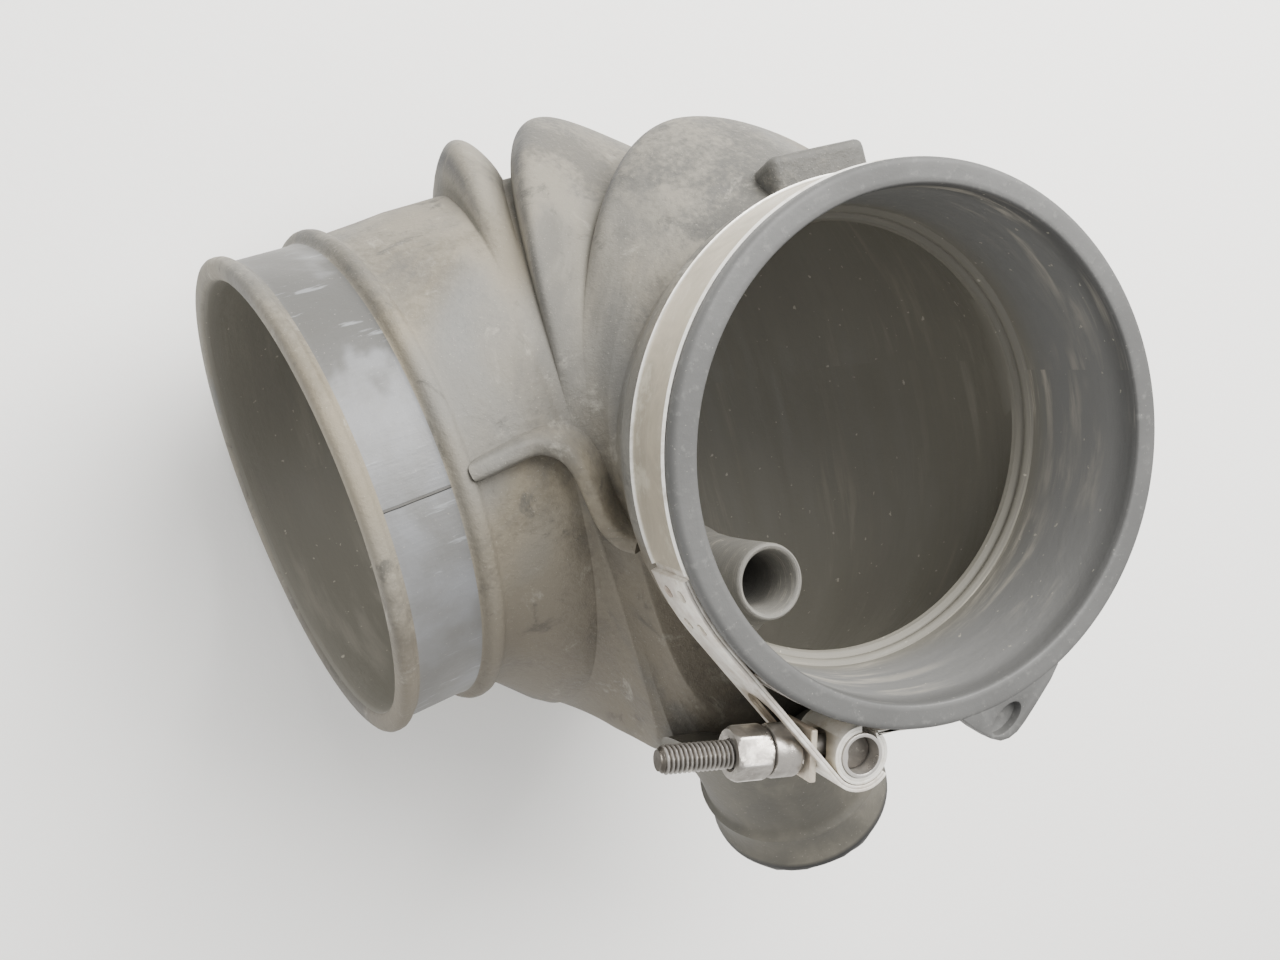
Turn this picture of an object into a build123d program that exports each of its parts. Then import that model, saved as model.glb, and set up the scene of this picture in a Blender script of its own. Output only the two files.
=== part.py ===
"""Moulded rubber air-intake elbow with a T-bolt band clamp on its outlet cuff.

The outlet mouth faces +Z and its lip lies in the plane Z = 0, centred on the origin.
The inlet faces -X and is offset to +Y, and a side branch leaves the underside towards -Y.
All sizes are millimetres.
"""
import math
import os

from build123d import *

# ---- driving dimensions: outlet cuff ----------------------------------------------
OUTLET_BORE_R = 52.0        # socket that takes the pipe
OUTLET_LIP_R = 57.5
LIP_LENGTH = 3.2
OUTLET_SEAT_R = 56.3        # where the clamp sits
SEAT_END = 21.6             # depth of the seat's far edge
SHOULDER_R = 57.2
STOP_DEPTH = 33.9           # pipe stop bead
STOP_R = 50.6
STOP_WIDTH = 2.4
CUFF_LENGTH = 38.0          # lip to the start of the bend

# ---- driving dimensions: bend -----------------------------------------------------
WALL = 5.0
HINGE_X = -60.0             # the bend's inner corner, seen along Y
HINGE_Z = -CUFF_LENGTH
BEND_ANGLE = 98.0
CROTCH_R = 6.0              # clearance from the inner corner to the rubber
# angle round the bend, half width in the bend plane, top and bottom of the section
BEND_STATIONS = (
    (0.0, 54.0, 54.0, -54.0),
    (9.0, 56.5, 64.0, -58.0),
    (36.0, 59.0, 73.5, -63.0),
    (66.0, 60.5, 79.5, -62.0),
    (88.0, 60.5, 80.0, -51.0),
    (BEND_ANGLE, 60.4, 79.8, -41.5),
)
# angle round the bend, height, reach and angular width of each fold, from the outlet on
FOLDS = ((21.0, 10.0, 7.0, 30.0), (51.5, 13.5, 9.0, 29.0), (79.0, 11.5, 6.0, 12.0))
FOLD_PROFILE = ((-0.5, 0.0), (-0.3, 0.75), (0.0, 1.0), (0.3, 0.75), (0.5, 0.0))

# ---- driving dimensions: inlet cuff -----------------------------------------------
INLET_CENTRE = (-115.3, 19.4, -92.0)
INLET_TILT = 8.0            # the inlet axis leans this far off -X towards +Z
INLET_BORE_R = 54.6
INLET_LIP_R = 60.0
INLET_SEAT_R = 58.2
INLET_LIP_LENGTH = 3.6
RIDGE_START = 20.6
RIDGE_WIDTH = 5.0
RIDGE_R = 60.8
INLET_LENGTH = 40.0
JOINT_GAP = 0.3             # between the bellows and the inlet cuff, which flex apart

# ---- driving dimensions: side branch, nozzle, rib and lug ---------------------------
BRANCH_END = (-21.5, -92.3, -65.9)
BRANCH_AXIS = (0.200, -0.904, -0.377)
BRANCH_R = 22.3
BRANCH_BORE_R = 18.6
BRANCH_BORE_DEPTH = 18.0    # to the step where the wall thickens
BRANCH_ROOT_R = 17.6
BRANCH_BEAD_R = 23.0
BRANCH_BEAD_BACK = 14.0
BRANCH_LENGTH = 56.0        # long enough to reach inside the bend before it is trimmed
NOZZLE_END = (-29.5, -22.5, -29.0)
NOZZLE_AXIS = (0.14, 0.05, 0.99)
NOZZLE_R = 8.6
NOZZLE_MOUTH_R = 7.1
NOZZLE_THROAT_R = 3.1
NOZZLE_LENGTH = 34.0
RIB_X = (1.0, 26.0)
RIB_Y = (52.0, 65.2)
RIB_Z = (-53.0, -37.5)
LUG_ANGLE = 272.0
LUG_RADIUS = 4.2
LUG_OUT = 61.0
LUG_DEPTH = 3.0

# ---- driving dimensions: clamp ------------------------------------------------------
BAND_MID_Z = -12.3
BAND_WIDTH = 17.6
BAND_T = 0.8
FLARE_R = 58.9
BAND_R = OUTLET_SEAT_R + BAND_T      # outside of the band
TONGUE_T = 0.5
STRAP_T = 1.4               # two spot-welded layers
STRAP_LEAVES = 203.0        # angle round the cuff where the slotted strap leaves it
STRAP_RUN = 42.0            # straight run from there to its folded end
STRAP_LAP = 16.0            # degrees of lap on the band
SLOT_START = 15.5
SLOT_END = 2.0              # material left past the slot
SLOT_WIDTH = 11.0
STRAP_WIDTH = 16.4
TRUNNION_ANGLE = 240.5
BOLT_ANGLE = 160.2          # direction of the bolt, seen along the outlet's axis
TRUNNION_R = 4.7
TRUNNION_T = 0.8
TRUNNION_OUT = BAND_R + STRAP_T + TONGUE_T + TRUNNION_R + 0.3
LOOP_CLEARANCE = 0.05
LOOP_T = 1.4
LOOP_LAP = 33.0             # degrees of the loop's tail along the band
BOLT_R = 3.0
SHANK_R = 2.65
BOLT_LENGTH = 42.0          # from the trunnion's centre to the tip
THREAD_LENGTH = 27.0
SADDLE_AT = 9.3            # along the bolt, from the trunnion's centre
SADDLE_T = 1.6
SADDLE_SIZE = (12.5, 15.0)
COLLAR_AT = 11.9
COLLAR_R = 5.6
COLLAR_LENGTH = 6.1
NUT_ACROSS_FLATS = 10.0
NUT_LENGTH = 8.0
NUT_GAP = 0.3
WELD_R = 1.3
WELD_T = 0.25


def polar(radius, angle, z=0.0):
    """A point at a radius and an angle (degrees) round the outlet axis."""
    return Vector(radius * math.cos(math.radians(angle)), radius * math.sin(math.radians(angle)), z)


def bend_plane(angle):
    """The cross-section plane at an angle round the bend, its X pointing away from the hinge."""
    turn = math.radians(angle)
    away = (math.cos(turn), 0, -math.sin(turn))
    along = (-math.sin(turn), 0, -math.cos(turn))
    return Plane(origin=(HINGE_X, 0, HINGE_Z), x_dir=away, z_dir=along)


def plain_station(angle):
    """The smooth section at an angle, between the two nearest driving stations."""
    before = max(s for s in BEND_STATIONS if s[0] <= angle)
    after = min(s for s in BEND_STATIONS if s[0] >= angle)
    if before == after:
        return before
    part_way = (angle - before[0]) / (after[0] - before[0])
    return tuple(b + (a - b) * part_way for b, a in zip(before, after))


def bend_stations():
    """Every section in order: the two ends and, across each fold, its profile."""
    stations = [BEND_STATIONS[0], BEND_STATIONS[-1]]
    for middle, height, reach, width in FOLDS:
        for place, rise in FOLD_PROFILE:
            angle, half_width, top, bottom = plain_station(middle + place * width)
            stations.append((angle, half_width + reach * rise / 2, top + height * rise, bottom))
    return sorted(stations)


def section(station, inset):
    """One oval cross-section of the bend, inset by the wall for its inside."""
    angle, half_width, top, bottom = station
    half_height = (top - bottom) / 2
    middle = (top + bottom) / 2
    # a section's local Y points to -Y of the part, because the plane faces along the flow
    plane = bend_plane(angle)
    side = 1 if plane.y_dir.Y > 0 else -1
    with BuildSketch(plane) as oval:
        with Locations((CROTCH_R + half_width, side * middle)):
            Ellipse(half_width - inset, half_height - inset)
    return oval.sketch


# ---- outlet cuff --------------------------------------------------------------------
with BuildPart() as outlet_cuff:
    with BuildSketch(Plane.XZ):
        with BuildLine():
            Polyline(
                (OUTLET_BORE_R, 0), (OUTLET_LIP_R, 0), (OUTLET_LIP_R, -LIP_LENGTH),
                (OUTLET_SEAT_R, -LIP_LENGTH - 0.3), (OUTLET_SEAT_R, -SEAT_END),
                (SHOULDER_R, -SEAT_END - 0.8), (SHOULDER_R, -SEAT_END - 4),
                (54.0, -CUFF_LENGTH), (54.0 - WALL, -CUFF_LENGTH),
                (54.0 - WALL, -STOP_DEPTH - STOP_WIDTH), (STOP_R, -STOP_DEPTH - STOP_WIDTH),
                (STOP_R, -STOP_DEPTH), (OUTLET_BORE_R, -STOP_DEPTH + 0.6), close=True)
        make_face()
    revolve(axis=Axis.Z)
    lip_edges = outlet_cuff.edges().filter_by(GeomType.CIRCLE).filter_by_position(Axis.Z, -0.01, 0.01)
    fillet(lip_edges.sort_by(SortBy.RADIUS)[-1], 1.4)
outlet_cuff.part.label = "outlet_cuff"

# ---- locating lug: a D-shaped pocket on the outside of the lip ------------------------
with BuildPart() as locating_lug:
    with BuildSketch(Plane.XY):
        with BuildLine():
            start = polar(OUTLET_LIP_R - 0.2, LUG_ANGLE + 12.5)
            low = polar(LUG_OUT, LUG_ANGLE - 2) + Vector(0, -LUG_RADIUS, 0)
            end = polar(OUTLET_LIP_R - 0.2, LUG_ANGLE - 7.5)
            right = polar(LUG_OUT + 2.4, LUG_ANGLE + 1.6)
            Line(start, right)
            ThreePointArc(right, low, polar(LUG_OUT + 1.4, LUG_ANGLE - 5.0))
            Line(polar(LUG_OUT + 1.4, LUG_ANGLE - 5.0), end)
            Line(end, start)
        make_face()
    extrude(amount=-LIP_LENGTH)
    with BuildSketch(Plane.XY):
        Circle(OUTLET_LIP_R)
    extrude(amount=-LIP_LENGTH, mode=Mode.SUBTRACT)
    with BuildSketch(Plane.XY):
        with Locations(polar(LUG_OUT + 0.3, LUG_ANGLE - 1.4)):
            Circle(2.5)
    extrude(amount=-LUG_DEPTH + 0.8, mode=Mode.SUBTRACT)
locating_lug.part.label = "locating_lug"

# ---- bend and bellows -----------------------------------------------------------------
with BuildPart() as bend_outside:
    loft(sections=[section(station, 0) for station in bend_stations()], ruled=True)

with BuildPart() as bend_inside:
    loft(sections=[section(station, WALL) for station in bend_stations()], ruled=True)

branch_plane = Plane(origin=BRANCH_END, z_dir=BRANCH_AXIS)
nozzle_plane = Plane(origin=NOZZLE_END, z_dir=NOZZLE_AXIS)
branch_floor = Vector(*BRANCH_END) - Vector(*BRANCH_AXIS).normalized() * (BRANCH_LENGTH - 8)
nozzle_back = Vector(*NOZZLE_END) - Vector(*NOZZLE_AXIS).normalized() * (NOZZLE_LENGTH - 7)
duct_line = nozzle_back - branch_floor
duct_plane = Plane(origin=branch_floor, z_dir=duct_line)

with BuildPart() as duct:
    with BuildSketch(duct_plane.offset(-14)):
        Circle(NOZZLE_THROAT_R)
    extrude(amount=duct_line.length + 14)

with BuildPart() as bellows:
    add(bend_outside.part)
    add(bend_inside.part, mode=Mode.SUBTRACT)
    add(duct.part, mode=Mode.SUBTRACT)
bellows.part.label = "bellows"

# ---- inlet cuff -------------------------------------------------------------------------
tilt = math.radians(INLET_TILT)
inlet_outward = Vector(-math.cos(tilt), 0, math.sin(tilt))
inlet_plane = Plane(origin=INLET_CENTRE, x_dir=(0, 1, 0), z_dir=inlet_outward)
inlet_profile = Plane(origin=INLET_CENTRE, x_dir=(0, 1, 0), z_dir=inlet_outward.cross(Vector(0, 1, 0)))

with BuildPart() as inlet_solid:
    with BuildSketch(inlet_profile):
        flip = 1 if inlet_profile.y_dir.dot(inlet_outward) > 0 else -1
        with BuildLine():
            Polyline(
                (INLET_BORE_R, 0), (INLET_LIP_R - 1, 0), (INLET_LIP_R, -flip * 1.2),
                (INLET_LIP_R, -flip * 2.6), (INLET_SEAT_R, -flip * INLET_LIP_LENGTH),
                (INLET_SEAT_R, -flip * RIDGE_START), (RIDGE_R - 0.6, -flip * (RIDGE_START + 0.9)),
                (RIDGE_R, -flip * (RIDGE_START + 2)), (RIDGE_R - 0.2, -flip * (RIDGE_START + 4)),
                (INLET_SEAT_R + 0.5, -flip * (RIDGE_START + RIDGE_WIDTH)),
                (60.4, -flip * INLET_LENGTH), (60.4 - WALL, -flip * INLET_LENGTH),
                (INLET_BORE_R, -flip * (RIDGE_START + RIDGE_WIDTH)), close=True)
        make_face()
    revolve(axis=Axis(INLET_CENTRE, inlet_outward))

# the straight cuff is carried on to the bend by a short tapered collar
with BuildPart() as inlet_link:
    with BuildSketch(inlet_plane.offset(-INLET_LENGTH)):
        Circle(60.4)
        Circle(60.4 - WALL, mode=Mode.SUBTRACT)
    with BuildSketch(bend_plane(BEND_ANGLE).offset(JOINT_GAP)):
        reach = CROTCH_R + BEND_STATIONS[-1][1]
        link_side = 1 if bend_plane(BEND_ANGLE).y_dir.Y > 0 else -1
        with Locations((reach, link_side * (BEND_STATIONS[-1][2] + BEND_STATIONS[-1][3]) / 2)):
            Circle(60.4)
            Circle(60.4 - WALL, mode=Mode.SUBTRACT)
    loft()

with BuildPart() as inlet_cuff:
    add(inlet_solid.part)
    add(inlet_link.part)
inlet_cuff.part.label = "inlet_cuff"

# ---- side branch ------------------------------------------------------------------------
with BuildPart() as side_branch:
    with BuildSketch(branch_plane):
        Circle(BRANCH_R)
    extrude(amount=-BRANCH_LENGTH)
    with BuildSketch(branch_plane.offset(-BRANCH_BEAD_BACK)):
        Circle(BRANCH_BEAD_R)
    extrude(amount=-2.2)
    with BuildSketch(branch_plane.offset(0)):
        Circle(BRANCH_BEAD_R)
    extrude(amount=-2.4)
    with BuildSketch(branch_plane):
        Circle(BRANCH_BORE_R)
    extrude(amount=-BRANCH_BORE_DEPTH, mode=Mode.SUBTRACT)
    with BuildSketch(branch_plane):
        Circle(BRANCH_ROOT_R)
    extrude(amount=-BRANCH_LENGTH, mode=Mode.SUBTRACT)
    add(bend_outside.part, mode=Mode.SUBTRACT)
    with BuildSketch(Plane.XY.offset(-CUFF_LENGTH)):
        Circle(SHOULDER_R)
    extrude(amount=CUFF_LENGTH, mode=Mode.SUBTRACT)
side_branch.part.label = "side_branch"

# ---- inner nozzle -----------------------------------------------------------------------
with BuildPart() as inner_nozzle:
    with BuildSketch(nozzle_plane):
        Circle(NOZZLE_R)
    extrude(amount=-NOZZLE_LENGTH)
    # the fairing that carries the tube out to the wall
    web_plane = Plane(origin=nozzle_plane.origin, x_dir=(-0.62, -0.78, 0), z_dir=(0, 0, 1)).offset(-10)
    with BuildSketch(web_plane):
        with Locations((14, 0)):
            Rectangle(34, 13)
    extrude(amount=-26)
    add(bend_inside.part, mode=Mode.INTERSECT)
    with BuildSketch(nozzle_plane):
        Circle(NOZZLE_MOUTH_R)
    with BuildSketch(nozzle_plane.offset(-15)):
        Circle(NOZZLE_THROAT_R)
    loft(mode=Mode.SUBTRACT)
    with BuildSketch(nozzle_plane):
        Circle(NOZZLE_THROAT_R)
    extrude(amount=-NOZZLE_LENGTH + 5, mode=Mode.SUBTRACT)
    add(duct.part, mode=Mode.SUBTRACT)
inner_nozzle.part.label = "inner_nozzle"

# ---- stiffening rib behind the outlet cuff ------------------------------------------------
with BuildPart() as stiffening_rib:
    with BuildSketch(Plane.XY.offset(RIB_Z[0])):
        with Locations((sum(RIB_X) / 2, sum(RIB_Y) / 2)):
            Rectangle(RIB_X[1] - RIB_X[0], RIB_Y[1] - RIB_Y[0])
    extrude(amount=RIB_Z[1] - RIB_Z[0])
    fillet(stiffening_rib.edges().filter_by(Axis.Z).group_by(Axis.Y)[-1], 4)
    add(bend_outside.part, mode=Mode.SUBTRACT)
    add(outlet_cuff.part, mode=Mode.SUBTRACT)
    kept = stiffening_rib.solids().sort_by(SortBy.VOLUME)[-1]
stiffening_rib_part = Part(kept.wrapped)
stiffening_rib_part.label = "stiffening_rib"


# ---- clamp: helpers -----------------------------------------------------------------------
band_top = BAND_MID_Z + BAND_WIDTH / 2
band_bottom = BAND_MID_Z - BAND_WIDTH / 2


def band_piece(inner, outer, start, end, width):
    """A curved strip round the cuff from one angle to another, anticlockwise."""
    with BuildPart() as piece:
        with BuildSketch(Plane.XY.offset(BAND_MID_Z - width / 2)):
            with BuildLine():
                CenterArc((0, 0), outer, start, end - start)
                Line(polar(outer, end), polar(inner, end))
                CenterArc((0, 0), inner, start, end - start)
                Line(polar(inner, start), polar(outer, start))
            make_face()
        extrude(amount=width)
    return piece.part


strap_point = polar(BAND_R, STRAP_LEAVES)
strap_along = polar(1, STRAP_LEAVES + 90)
strap_out = polar(1, STRAP_LEAVES)
trunnion_centre = polar(TRUNNION_OUT, TRUNNION_ANGLE, BAND_MID_Z)
bolt_along = polar(1, BOLT_ANGLE)
bolt_plane = Plane(origin=trunnion_centre, x_dir=(0, 0, 1), z_dir=bolt_along)

# ---- clamp band: a ring with both edges flared outwards -------------------------------------
with BuildPart() as clamp_band:
    with BuildSketch(Plane.XZ):
        with BuildLine():
            Polyline(
                (OUTLET_SEAT_R, band_bottom + 1.6), (OUTLET_SEAT_R, band_top - 1.4),
                (FLARE_R - BAND_T, band_top), (FLARE_R, band_top - 0.4),
                (BAND_R, band_top - 1.9), (BAND_R, band_bottom + 2.1),
                (FLARE_R, band_bottom + 0.4), (FLARE_R - BAND_T, band_bottom), close=True)
        make_face()
    revolve(axis=Axis.Z)
    # the gap that the bolt closes
    with BuildSketch(Plane.XY.offset(band_bottom - 1)):
        with BuildLine():
            gap_start = polar(FLARE_R + 3, STRAP_LEAVES + 12)
            gap_end = polar(FLARE_R + 3, TRUNNION_ANGLE - 1)
            Polyline((0, 0), gap_start, polar(FLARE_R + 14, (STRAP_LEAVES + TRUNNION_ANGLE) / 2), gap_end, close=True)
        make_face()
    extrude(amount=BAND_WIDTH + 2, mode=Mode.SUBTRACT)
    # the flares stop where a strap lies on the band
    for lap_start, lap_end in (
        (STRAP_LEAVES - STRAP_LAP - 1, STRAP_LEAVES + 14),
        (TRUNNION_ANGLE - 3, TRUNNION_ANGLE + LOOP_LAP + 1),
    ):
        add(band_piece(BAND_R, FLARE_R + 2, lap_start, lap_end, BAND_WIDTH + 2), mode=Mode.SUBTRACT)
clamp_band.part.label = "clamp_band"

# ---- bridge tongue: the thin sheet that spans the gap ---------------------------------------
bridge_tongue = band_piece(BAND_R, BAND_R + TONGUE_T, STRAP_LEAVES + 9, TRUNNION_ANGLE + 10, 12.4)
bridge_tongue.label = "bridge_tongue"

# ---- slotted strap: lies on the band, then runs off it in a straight line -------------------
with BuildPart() as slotted_strap:
    with BuildSketch(Plane.XY.offset(BAND_MID_Z - STRAP_WIDTH / 2)):
        with BuildLine():
            CenterArc((0, 0), BAND_R, STRAP_LEAVES - STRAP_LAP, STRAP_LAP)
            inner_end = strap_point + strap_along * STRAP_RUN
            outer_end = inner_end + strap_out * STRAP_T
            Line(strap_point, inner_end)
            ThreePointArc(inner_end, inner_end + strap_along * 0.8 + strap_out * STRAP_T / 2, outer_end)
            Line(outer_end, strap_point + strap_out * STRAP_T)
            CenterArc((0, 0), BAND_R + STRAP_T, STRAP_LEAVES - STRAP_LAP, STRAP_LAP)
            Line(polar(BAND_R, STRAP_LEAVES - STRAP_LAP), polar(BAND_R + STRAP_T, STRAP_LEAVES - STRAP_LAP))
        make_face()
    extrude(amount=STRAP_WIDTH)
    slot_middle = strap_point + strap_along * (SLOT_START + STRAP_RUN - SLOT_END) / 2 + Vector(0, 0, BAND_MID_Z)
    slot_plane = Plane(origin=slot_middle, x_dir=strap_along, z_dir=strap_out)
    with BuildSketch(slot_plane.offset(-2)):
        SlotOverall(STRAP_RUN - SLOT_END - SLOT_START, SLOT_WIDTH)
    extrude(amount=STRAP_T + 4, mode=Mode.SUBTRACT)
slotted_strap.part.label = "slotted_strap"

# ---- saddle: the plate across the slot that the collar bears on ------------------------------
with BuildPart() as saddle:
    with BuildSketch(bolt_plane.offset(SADDLE_AT)):
        Rectangle(SADDLE_SIZE[0], SADDLE_SIZE[1])
    extrude(amount=SADDLE_T)
    fillet(saddle.edges().filter_by(Axis((0, 0, 0), bolt_along)), 1.5)
    with BuildSketch(bolt_plane.offset(SADDLE_AT - 1)):
        SlotOverall(9.4, 6.8, rotation=90)
    extrude(amount=SADDLE_T + 2, mode=Mode.SUBTRACT)
    add(slotted_strap.part, mode=Mode.SUBTRACT)
    with BuildSketch(Plane.XY.offset(band_bottom - 5)):
        Circle(BAND_R + TONGUE_T)
    extrude(amount=BAND_WIDTH + 10, mode=Mode.SUBTRACT)
saddle.part.label = "saddle"

# ---- trunnion strap: lies on the band and loops round the bolt's trunnion --------------------
loop_inner = TRUNNION_R + LOOP_CLEARANCE
tail_start = TRUNNION_ANGLE + 10.5
loop_plane = Plane(origin=(trunnion_centre.X, trunnion_centre.Y, BAND_MID_Z - STRAP_WIDTH / 2))
with BuildPart() as trunnion_strap:
    with BuildSketch(loop_plane):
        Circle(loop_inner + LOOP_T)
    extrude(amount=STRAP_WIDTH)
    # the tail fills the wedge between the loop and the band, then lies along it
    with BuildSketch(Plane.XY.offset(BAND_MID_Z - STRAP_WIDTH / 2)):
        with BuildLine():
            tail_end = TRUNNION_ANGLE + LOOP_LAP
            CenterArc((0, 0), BAND_R, tail_start, tail_end - tail_start)
            CenterArc((0, 0), BAND_R + STRAP_T, tail_start, tail_end - tail_start)
            Line(polar(BAND_R, tail_end), polar(BAND_R + STRAP_T, tail_end))
            Line(polar(BAND_R, tail_start), polar(BAND_R + STRAP_T, tail_start))
        make_face()
    extrude(amount=STRAP_WIDTH)
    with BuildSketch(Plane.XY.offset(BAND_MID_Z - STRAP_WIDTH / 2)):
        with BuildLine():
            foot = polar(BAND_R + STRAP_T, TRUNNION_ANGLE + 13)
            crown = polar(TRUNNION_OUT + 1.5, TRUNNION_ANGLE + 5.2)
            root = polar(BAND_R + 0.2, TRUNNION_ANGLE + 10.5)
            Polyline(foot, crown, polar(BAND_R + TONGUE_T + 1.2, TRUNNION_ANGLE + 3.5), root, close=True)
        make_face()
    extrude(amount=STRAP_WIDTH)
    with BuildSketch(Plane.XY.offset(band_bottom - 2)):
        with Locations((trunnion_centre.X, trunnion_centre.Y)):
            Circle(loop_inner)
    extrude(amount=BAND_WIDTH + 4, mode=Mode.SUBTRACT)
    with BuildSketch(Plane.XY.offset(band_bottom - 2)):
        Circle(BAND_R)
    extrude(amount=BAND_WIDTH + 4, mode=Mode.SUBTRACT)
    # the slot in the loop that the bolt swings in
    with BuildSketch(bolt_plane):
        Rectangle(7.4, 8.6)
    extrude(amount=12, mode=Mode.SUBTRACT)
    add(bridge_tongue, mode=Mode.SUBTRACT)
trunnion_strap.part.label = "trunnion_strap"

# ---- bolt trunnion: a rolled tube across the clamp --------------------------------------------
trunnion_length = 17.0
with BuildPart() as bolt_trunnion:
    with BuildSketch(Plane((trunnion_centre.X, trunnion_centre.Y, BAND_MID_Z - trunnion_length / 2))):
        Circle(TRUNNION_R)
        Circle(TRUNNION_R - TRUNNION_T, mode=Mode.SUBTRACT)
    extrude(amount=trunnion_length)
    with BuildSketch(bolt_plane):
        Circle(SHANK_R)
    extrude(amount=10, mode=Mode.SUBTRACT)
bolt_trunnion.part.label = "bolt_trunnion"

# ---- T-bolt: cross bar inside the trunnion, plain shank and threaded end ----------------------
with BuildPart() as t_bolt:
    with BuildSketch(Plane((trunnion_centre.X, trunnion_centre.Y, BAND_MID_Z - 5))):
        Circle(TRUNNION_R - TRUNNION_T)
    extrude(amount=10)
    with BuildSketch(bolt_plane):
        Circle(SHANK_R)
    extrude(amount=BOLT_LENGTH - THREAD_LENGTH)
    with BuildSketch(bolt_plane.offset(BOLT_LENGTH - THREAD_LENGTH)):
        Circle(BOLT_R)
    extrude(amount=THREAD_LENGTH)
    tip = t_bolt.faces().sort_by(Axis((0, 0, 0), bolt_along))[-1]
    chamfer(tip.edges(), 0.9)
t_bolt.part.label = "t_bolt"

# ---- collar: the cylindrical sleeve that the nut pushes -----------------------------------------
with BuildPart() as collar:
    with BuildSketch(bolt_plane.offset(COLLAR_AT)):
        Circle(COLLAR_R)
    extrude(amount=COLLAR_LENGTH)
    fillet(collar.edges(), 0.8)
    with BuildSketch(bolt_plane.offset(COLLAR_AT)):
        Circle(BOLT_R + 0.06)
    extrude(amount=COLLAR_LENGTH, mode=Mode.SUBTRACT)
collar.part.label = "collar"

# ---- nut: a tall hexagon, chamfered at both ends --------------------------------------------------
nut_at = COLLAR_AT + COLLAR_LENGTH + NUT_GAP
nut_corner_r = NUT_ACROSS_FLATS / 2 / math.cos(math.radians(30))
with BuildPart() as nut_round:
    with BuildSketch(bolt_plane.offset(nut_at)):
        Circle(nut_corner_r - 0.05)
    extrude(amount=NUT_LENGTH)
    chamfer(nut_round.edges().filter_by(GeomType.CIRCLE), 0.75)

with BuildPart() as nut:
    with BuildSketch(bolt_plane.offset(nut_at)):
        RegularPolygon(radius=nut_corner_r, side_count=6)
    extrude(amount=NUT_LENGTH)
    add(nut_round.part, mode=Mode.INTERSECT)
    with BuildSketch(bolt_plane.offset(nut_at)):
        Circle(BOLT_R + 0.05)
    extrude(amount=NUT_LENGTH, mode=Mode.SUBTRACT)
nut.part.label = "nut"

# ---- spot welds: shallow round nuggets on both straps -----------------------------------------------
with BuildPart() as spot_welds:
    lap_top = BAND_R + STRAP_T
    for angle in (STRAP_LEAVES - 12, STRAP_LEAVES - 4, TRUNNION_ANGLE + 19, TRUNNION_ANGLE + 27):
        for side in (-1, 1):
            centre = polar(lap_top - 0.05, angle, BAND_MID_Z + side * 3.2)
            with BuildSketch(Plane(origin=centre, z_dir=polar(1, angle))):
                Circle(WELD_R)
            extrude(amount=WELD_T + 0.05)
    with BuildSketch(Plane.XY.offset(band_bottom)):
        Circle(lap_top)
    extrude(amount=BAND_WIDTH, mode=Mode.SUBTRACT)
spot_welds.part.label = "spot_welds"

# ---- write one file per piece -------------------------------------------------------------------------
os.makedirs("parts", exist_ok=True)
pieces = [
    outlet_cuff.part, locating_lug.part, bellows.part, inlet_cuff.part, side_branch.part,
    inner_nozzle.part, stiffening_rib_part, clamp_band.part, bridge_tongue, slotted_strap.part,
    saddle.part, trunnion_strap.part, bolt_trunnion.part, t_bolt.part, collar.part, nut.part,
    spot_welds.part,
]
for piece in pieces:
    export_step(piece, f"parts/{piece.label}.step")
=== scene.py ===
"""Rubber air-intake elbow with a T-bolt band clamp: the moulded boot, its clamp and a studio."""
import math

import bpy
from mathutils import Matrix, Vector
from mathutils.bvhtree import BVHTree


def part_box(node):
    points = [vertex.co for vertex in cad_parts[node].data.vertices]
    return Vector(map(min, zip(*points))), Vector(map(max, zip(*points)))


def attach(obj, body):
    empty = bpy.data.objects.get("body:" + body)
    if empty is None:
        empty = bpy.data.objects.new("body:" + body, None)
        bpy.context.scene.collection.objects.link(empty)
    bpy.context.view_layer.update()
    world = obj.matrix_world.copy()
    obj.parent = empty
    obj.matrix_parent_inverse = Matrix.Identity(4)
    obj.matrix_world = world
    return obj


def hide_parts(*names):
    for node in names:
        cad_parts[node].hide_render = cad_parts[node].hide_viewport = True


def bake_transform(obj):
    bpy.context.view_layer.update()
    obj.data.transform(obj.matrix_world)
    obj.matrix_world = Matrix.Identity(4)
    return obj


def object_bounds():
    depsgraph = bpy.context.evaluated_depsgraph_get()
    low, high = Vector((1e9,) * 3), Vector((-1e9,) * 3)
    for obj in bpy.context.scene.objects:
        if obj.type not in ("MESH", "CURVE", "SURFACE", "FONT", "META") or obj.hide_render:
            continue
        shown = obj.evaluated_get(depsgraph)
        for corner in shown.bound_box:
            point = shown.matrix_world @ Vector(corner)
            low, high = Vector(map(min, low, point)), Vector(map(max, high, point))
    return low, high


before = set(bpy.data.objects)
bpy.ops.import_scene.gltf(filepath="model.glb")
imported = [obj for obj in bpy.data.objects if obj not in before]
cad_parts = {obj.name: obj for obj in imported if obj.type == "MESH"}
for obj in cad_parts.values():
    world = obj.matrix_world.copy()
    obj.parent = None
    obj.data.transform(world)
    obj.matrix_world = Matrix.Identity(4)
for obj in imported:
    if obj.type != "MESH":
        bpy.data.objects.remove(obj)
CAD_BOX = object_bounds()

bl_info = {
    "name": "Intake elbow and clamp",
    "version": (1, 0, 0),
    "blender": (4, 5, 0),
    "location": "3D View > Sidebar > Intake",
    "description": "Builds a moulded rubber intake elbow with its band clamp",
    "category": "Add Mesh",
}

MM = 0.001
TAU = 2 * math.pi
UP = Vector((0, 1, 0))


# ---- sizes and colours that a user would change ----------------

def size(name, value, about):
    return bpy.props.FloatProperty(name=name, default=value * MM, description=about,
                                   unit="LENGTH", min=0.0, precision=5)


def colour(name, value, about):
    return bpy.props.FloatVectorProperty(name=name, default=value, size=3, subtype="COLOR",
                                         description=about, min=0.0, max=1.0)


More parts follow.
